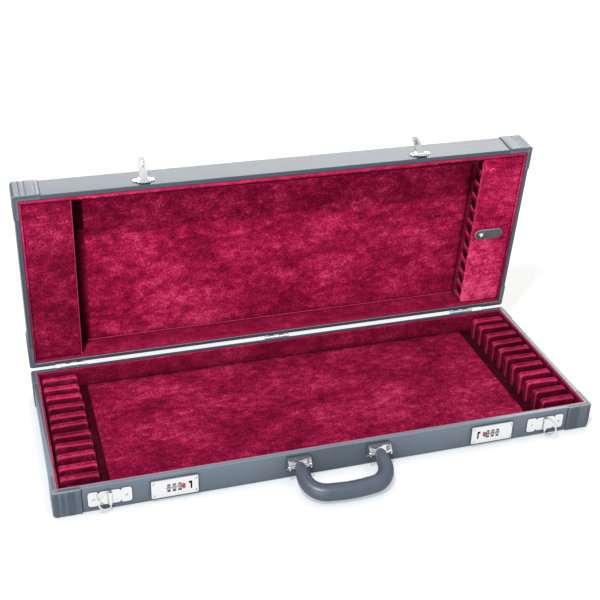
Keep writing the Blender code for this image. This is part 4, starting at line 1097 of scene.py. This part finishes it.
x, y = half_x - LIP_INSET, half_y - LIP_INSET
rim_lip("lip_base_front", pale_edge, "case_base", shell_high.z, -LIP_SINK,
        [(-x, y), (-x, -y), (x, -y), (x, y)], upright)
rim_lip("lip_base_back", ink, "case_base", shell_high.z, -LIP_SINK, [(-x, y), (x, y)], upright)
rim_lip("lip_lid_front", ink, "lid", lid_low.z, LIP_SINK,
        [(-x, y), (-x, -y), (x, -y), (x, y)], open_lid)
rim_lip("lip_lid_back", pale_edge, "lid", lid_low.z, LIP_SINK, [(-x, y), (x, y)], open_lid)
print("rim lips laid")

# %% [markdown]
# ## The dark insides of the locks
# Through the keyhole and beside the wheels we look into the lock. A real one has a steel housing
# let into the wall; without it the red lining would show. A thin dark plate closes that view.

# %% Lock housings
HOUSING_THICKNESS = 0.0004
HOUSING_BACK = 0.0002
for word, side in (("left", -1), ("right", 1)):
    low, high = (Vector(corner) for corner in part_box(f"lock_{word}_case"))
    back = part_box("base_lining")[0].y - HOUSING_BACK
    plate = bmesh.new()
    rings = []
    for depth, inset in ((0.0, 0.0012), (0.2, 0.0010), (0.8, 0.0010), (1.0, 0.0012)):
        y = back - HOUSING_THICKNESS * depth
        rings.append([(low.x + 0.004 - inset, y, low.z + 0.002 - inset),
                      (high.x - 0.004 + inset, y, low.z + 0.002 - inset),
                      (high.x - 0.004 + inset, y, high.z - 0.002 + inset),
                      (low.x + 0.004 - inset, y, high.z - 0.002 + inset)])
    skin(plate, rings)
    add_piece(f"lock_housing_{word}", plate, ink, "case_base")
print("lock housings closed")

# %% [markdown]
# ## Screws
# Small dome-headed cross-slot screws hold every fitting. A screw head is a disc of points whose
# height is a dome, less a cross that is sunk in its middle. We write it once and set a group of
# screws on each fitting, as one piece that rides with it.

# %% Screw heads
SCREW_SIDES = 20
SCREW_RINGS = (0.0, 0.14, 0.28, 0.42, 0.56, 0.72, 0.86, 1.0)


def screw_head(bm, center, normal, radius, turn, place=upright):
    """A dome with a sunk cross, standing on its fitting."""
    normal = normal.normalized()
    side = normal.orthogonal().normalized()
    other = normal.cross(side)
    rings = []
    for share in SCREW_RINGS[1:]:
        ring = []
        for a, b in circle(radius * share, SCREW_SIDES, turn):
            height = radius * 0.42 * math.sqrt(max(0.0, 1.02 - share * share))
            arm_a = a * math.cos(turn) + b * math.sin(turn)
            arm_b = b * math.cos(turn) - a * math.sin(turn)
            if min(abs(arm_a), abs(arm_b)) < radius * 0.13 and share < 0.62:
                height -= radius * 0.3
            ring.append(center + side * a + other * b + normal * height)
        rings.append(ring)
    skin(bm, rings + [[point - normal * radius * 0.3 for point in rings[-1]]], place)


def screws(name, body, spots, radius, place=upright):
    bm = bmesh.new()
    for center, normal in spots:
        screw_head(bm, center, normal, radius, hand.uniform(0, math.pi / 2), place)
    return add_piece(name, bm, chrome, body, 30)


for word, side in (("left", -1), ("right", 1)):
    low, high = (Vector(corner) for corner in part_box(f"lock_{word}_case"))
    face = low.y
    plate_low_z, plate_high_z = low.z, high.z
    spots = [(Vector((x, face, z)), -Y) for x in (low.x + 0.0034, high.x - 0.0034)
             for z in (plate_low_z + 0.0045, plate_high_z - 0.0045)]
    screws(f"screws_lock_{word}", "case_base", spots, 0.0018)
    low, high = (Vector(corner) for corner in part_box(f"ring_plate_{word}"))
    middle = (low + high) / 2
    plate_face = high.y - 0.0012
    spots = [(Vector((middle.x + reach, plate_face, middle.z)), -Y) for reach in (-0.0223, 0.0223)]
    screws(f"screws_ring_plate_{word}", "case_base", spots, 0.0021)
    low, high = shut_box(f"hasp_{word}_leaf")
    middle = (low + high) / 2
    spots = [(Vector((middle.x + reach, high.y - 0.0012, low.z + 0.0125)), -Y)
             for reach in (-0.0115, 0.0115)]
    screws(f"screws_hasp_{word}", "lid", spots, 0.0017, open_lid)
for word in ("left", "middle", "right"):
    low, high = (Vector(corner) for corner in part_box(f"hinge_{word}_lower"))
    spots = [(Vector((low.x + (high.x - low.x) * share, low.y + 0.0014, low.z + rise)), Y)
             for share, rise in ((0.15, 0.014), (0.5, 0.006), (0.85, 0.014))]
    screws(f"screws_hinge_{word}_lower", "case_base", spots, 0.0021)
    low, high = shut_box(f"hinge_{word}_upper")
    spots = [(Vector((low.x + (high.x - low.x) * share, low.y + 0.0014, high.z - rise)), Y)
             for share, rise in ((0.15, 0.014), (0.5, 0.006), (0.85, 0.014))]
    screws(f"screws_hinge_{word}_upper", "lid", spots, 0.0021, open_lid)
print("screws set on locks, ring plates, hasps and hinges")

# %% [markdown]
# ## Numbers on the wheels
# Each wheel carries the numbers 0 to 9 round its rim. Blender's text makes the shape of a number;
# we turn it into a mesh once and stamp copies round the six wheels, a hair above the metal. Red
# marks on the plate show which row to read.

# %% The numbers and the red marks
NUMBER_HEIGHT = 0.0050
NUMBER_LIFT = 0.00004
WHEEL_DIGITS = 10
WHEEL_RADIUS = 0.0062
REST_TURN = math.radians(14)


def number_mesh(digit):
    curve = bpy.data.curves.new(f"number {digit}", "FONT")
    curve.body = str(digit)
    curve.size = NUMBER_HEIGHT
    curve.align_x, curve.align_y = "CENTER", "CENTER"
    curve.extrude = NUMBER_LIFT
    text = bpy.data.objects.new("number", curve)
    bpy.context.scene.collection.objects.link(text)
    mesh = bpy.data.meshes.new_from_object(text.evaluated_get(
        bpy.context.evaluated_depsgraph_get()))
    bpy.data.objects.remove(text, do_unlink=True)
    bm = bmesh.new()
    bm.from_mesh(mesh)
    for share in (-0.3, -0.2, -0.1, 0.0, 0.1, 0.2, 0.3):
        bmesh.ops.bisect_plane(bm, geom=[*bm.verts, *bm.edges, *bm.faces], dist=1e-7,
                               plane_co=Y * share * NUMBER_HEIGHT, plane_no=Y)
    bm.to_mesh(mesh)
    bm.free()
    return mesh


numbers = [number_mesh(digit) for digit in range(WHEEL_DIGITS)]
for word in ("left", "right"):
    for wheel in (1, 2, 3):
        axis = Vector(joint_of[f"wheel_{word}_{wheel}_spin"]["pos_m"])
        stamped = bmesh.new()
        for digit, mesh in enumerate(numbers):
            turn = math.pi - REST_TURN + 2 * math.pi * digit / WHEEL_DIGITS
            count = len(stamped.verts)
            stamped.from_mesh(mesh)
            stamped.verts.ensure_lookup_table()
            for vert in stamped.verts[count:]:
                bent = turn - vert.co.y / WHEEL_RADIUS
                outward = Vector((0, math.cos(bent), math.sin(bent)))
                vert.co = axis + X * vert.co.x + outward * (WHEEL_RADIUS + NUMBER_LIFT / 2 + vert.co.z)
        add_piece(f"numbers_{word}_{wheel}", stamped, ink, f"wheel_{word}_{wheel}")
print("numbers on six wheels")

MARK_SIZE = Vector((0.0016, 0.0003, 0.0009))
for word, side in (("left", -1), ("right", 1)):
    marks = bmesh.new()
    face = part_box(f"lock_{word}_case")[0].y
    for wheel in (1, 2, 3):
        axis = Vector(joint_of[f"wheel_{word}_{wheel}_spin"]["pos_m"])
        for reach in (-0.00383, 0.00383):
            middle = Vector((axis.x + reach, face, axis.z))
            rings = []
            for depth, inset in ((0.0002, 0.0), (-0.0001, 0.0), (-0.0002, 0.0001)):
                rings.append([middle + Vector((a * (MARK_SIZE.x / 2 - inset), depth,
                                               b * (MARK_SIZE.z / 2 - inset)))
                              for a, b in ((-1, -1), (1, -1), (1, 1), (-1, 1))])
            skin(marks, rings)
    add_piece(f"red_marks_{word}", marks, mark_red, "case_base")
print("red marks beside the wheels")

# %% [markdown]
# ## The studio
# A catalogue picture on white. One soft lamp stands above and to the left of the camera and throws
# the dark band under the lid's upper wall. A second one, low behind the case, puts the long pale
# gloss on the surfaces that face up, and an even sky fills the rest. The table looks white to the
# camera without more light falling on the case: it glows a little for camera and mirror rays only,
# and what isn't glow still darkens under the case. Close to the case the glow is painted darker, as
# a painted contact shadow.

# %% The white table
GLOW = 0.78
SHADOW_SHARE = 0.26
PAINTED_SHADOW_REACH = 0.030
FADE = (0.75, 1.9)
PAINTED_SHADOW_TONE = (0.56, 0.62, 0.69, 1.0)


def seen_directly(tree, kinds):
    """One for camera rays and the named kinds, zero for the light that bounces about."""
    path = tree.nodes.new("ShaderNodeLightPath")
    total = path.outputs["Is Camera Ray"]
    for kind in kinds:
        add = tree.nodes.new("ShaderNodeMath")
        add.operation = "MAXIMUM"
        tree.links.new(total, add.inputs[0])
        tree.links.new(path.outputs[kind], add.inputs[1])
        total = add.outputs[0]
    return total


def white_table(name):
    material = bpy.data.materials.new(name)
    material.use_nodes = True
    tree = material.node_tree
    tree.nodes.clear()
    bounce = tree.nodes.new("ShaderNodeBsdfDiffuse")
    bounce.inputs["Color"].default_value = (0.6, 0.6, 0.6, 1.0)
    shaded = tree.nodes.new("ShaderNodeBsdfDiffuse")
    shaded.inputs["Color"].default_value = (SHADOW_SHARE, SHADOW_SHARE, SHADOW_SHARE, 1.0)
    glow = tree.nodes.new("ShaderNodeEmission")
    # Painted contact shadow: the glow takes a grey-blue tone where the case stands close.
    near = tree.nodes.new("ShaderNodeAmbientOcclusion")
    near.inputs["Distance"].default_value = PAINTED_SHADOW_REACH
    tone = tree.nodes.new("ShaderNodeValToRGB")
    tone.color_ramp.elements[0].position = 0.35
    tone.color_ramp.elements[0].color = PAINTED_SHADOW_TONE
    tone.color_ramp.elements[1].position = 0.95
    tree.links.new(near.outputs["AO"], tone.inputs["Fac"])
    tree.links.new(tone.outputs["Color"], glow.inputs["Color"])
    place = tree.nodes.new("ShaderNodeTexCoord")
    away = tree.nodes.new("ShaderNodeVectorMath")
    away.operation = "LENGTH"
    far = tree.nodes.new("ShaderNodeMapRange")
    for socket, value in zip(("From Min", "From Max", "To Min", "To Max"), (*FADE, GLOW, 1.0)):
        far.inputs[socket].default_value = value
    tree.links.new(place.outputs["Object"], away.inputs[0])
    tree.links.new(away.outputs["Value"], far.inputs["Value"])
    tree.links.new(far.outputs[0], glow.inputs["Strength"])
    seen = tree.nodes.new("ShaderNodeAddShader")
    mix = tree.nodes.new("ShaderNodeMixShader")
    output = tree.nodes.new("ShaderNodeOutputMaterial")
    tree.links.new(shaded.outputs[0], seen.inputs[0])
    tree.links.new(glow.outputs[0], seen.inputs[1])
    tree.links.new(seen_directly(tree, ("Is Glossy Ray", "Is Transmission Ray")), mix.inputs[0])
    tree.links.new(bounce.outputs[0], mix.inputs[1])
    tree.links.new(seen.outputs[0], mix.inputs[2])
    tree.links.new(mix.outputs[0], output.inputs["Surface"])
    return material


floor_mesh = bpy.data.meshes.new("floor")
floor_mesh.from_pydata([(-6, -6, 0), (6, -6, 0), (6, 6, 0), (-6, 6, 0)], [], [(0, 1, 2, 3)])
floor = bpy.data.objects.new("floor", floor_mesh)
bpy.context.scene.collection.objects.link(floor)
floor_mesh.materials.append(white_table("white table"))
print("table ready")

# %% Lamps and sky
SKY_LIGHT = 0.08
SKY_GLOSS = 0.70


def area_light(name, place, aim, size, energy, color=(1.0, 1.0, 1.0)):
    data = bpy.data.lights.new(name, "AREA")
    data.shape = "RECTANGLE"
    data.size, data.size_y = size
    data.energy = energy
    data.color = color
    lamp = bpy.data.objects.new(name, data)
    lamp.location = place
    lamp.rotation_euler = (Vector(aim) - Vector(place)).to_track_quat("-Z", "Y").to_euler()
    bpy.context.scene.collection.objects.link(lamp)
    return lamp


area_light("key", (-0.76, -1.10, 2.55), (0, 0, 0.1), (0.20, 0.20), 81)
area_light("front fill", (-1.5, -2.3, 0.9), (0, 0, 0.15), (0.9, 0.8), 27)
area_light("back gloss", (0.8, 2.3, 1.75), (0, 0.1, 0.25), (3.4, 1.2), 72,
           (1.0, 0.985, 0.94))
sky = bpy.data.worlds.new("even sky")
bpy.context.scene.world = sky
sky.use_nodes = True
tree = sky.node_tree
background = tree.nodes["Background"]
background.inputs["Color"].default_value = (1.0, 1.0, 1.0, 1.0)
path = tree.nodes.new("ShaderNodeLightPath")
level = None
for source, top in ((path.outputs["Is Glossy Ray"], SKY_GLOSS),
                    (seen_directly(tree, ("Is Transmission Ray",)), 1.0)):
    step = tree.nodes.new("ShaderNodeMix")
    tree.links.new(source, step.inputs["Factor"])
    step.inputs["A"].default_value = SKY_LIGHT
    if level:
        tree.links.new(level, step.inputs["A"])
    step.inputs["B"].default_value = top
    level = step.outputs[0]
tree.links.new(level, background.inputs["Strength"])
bpy.context.scene.view_settings.view_transform = "Standard"
print("studio ready")
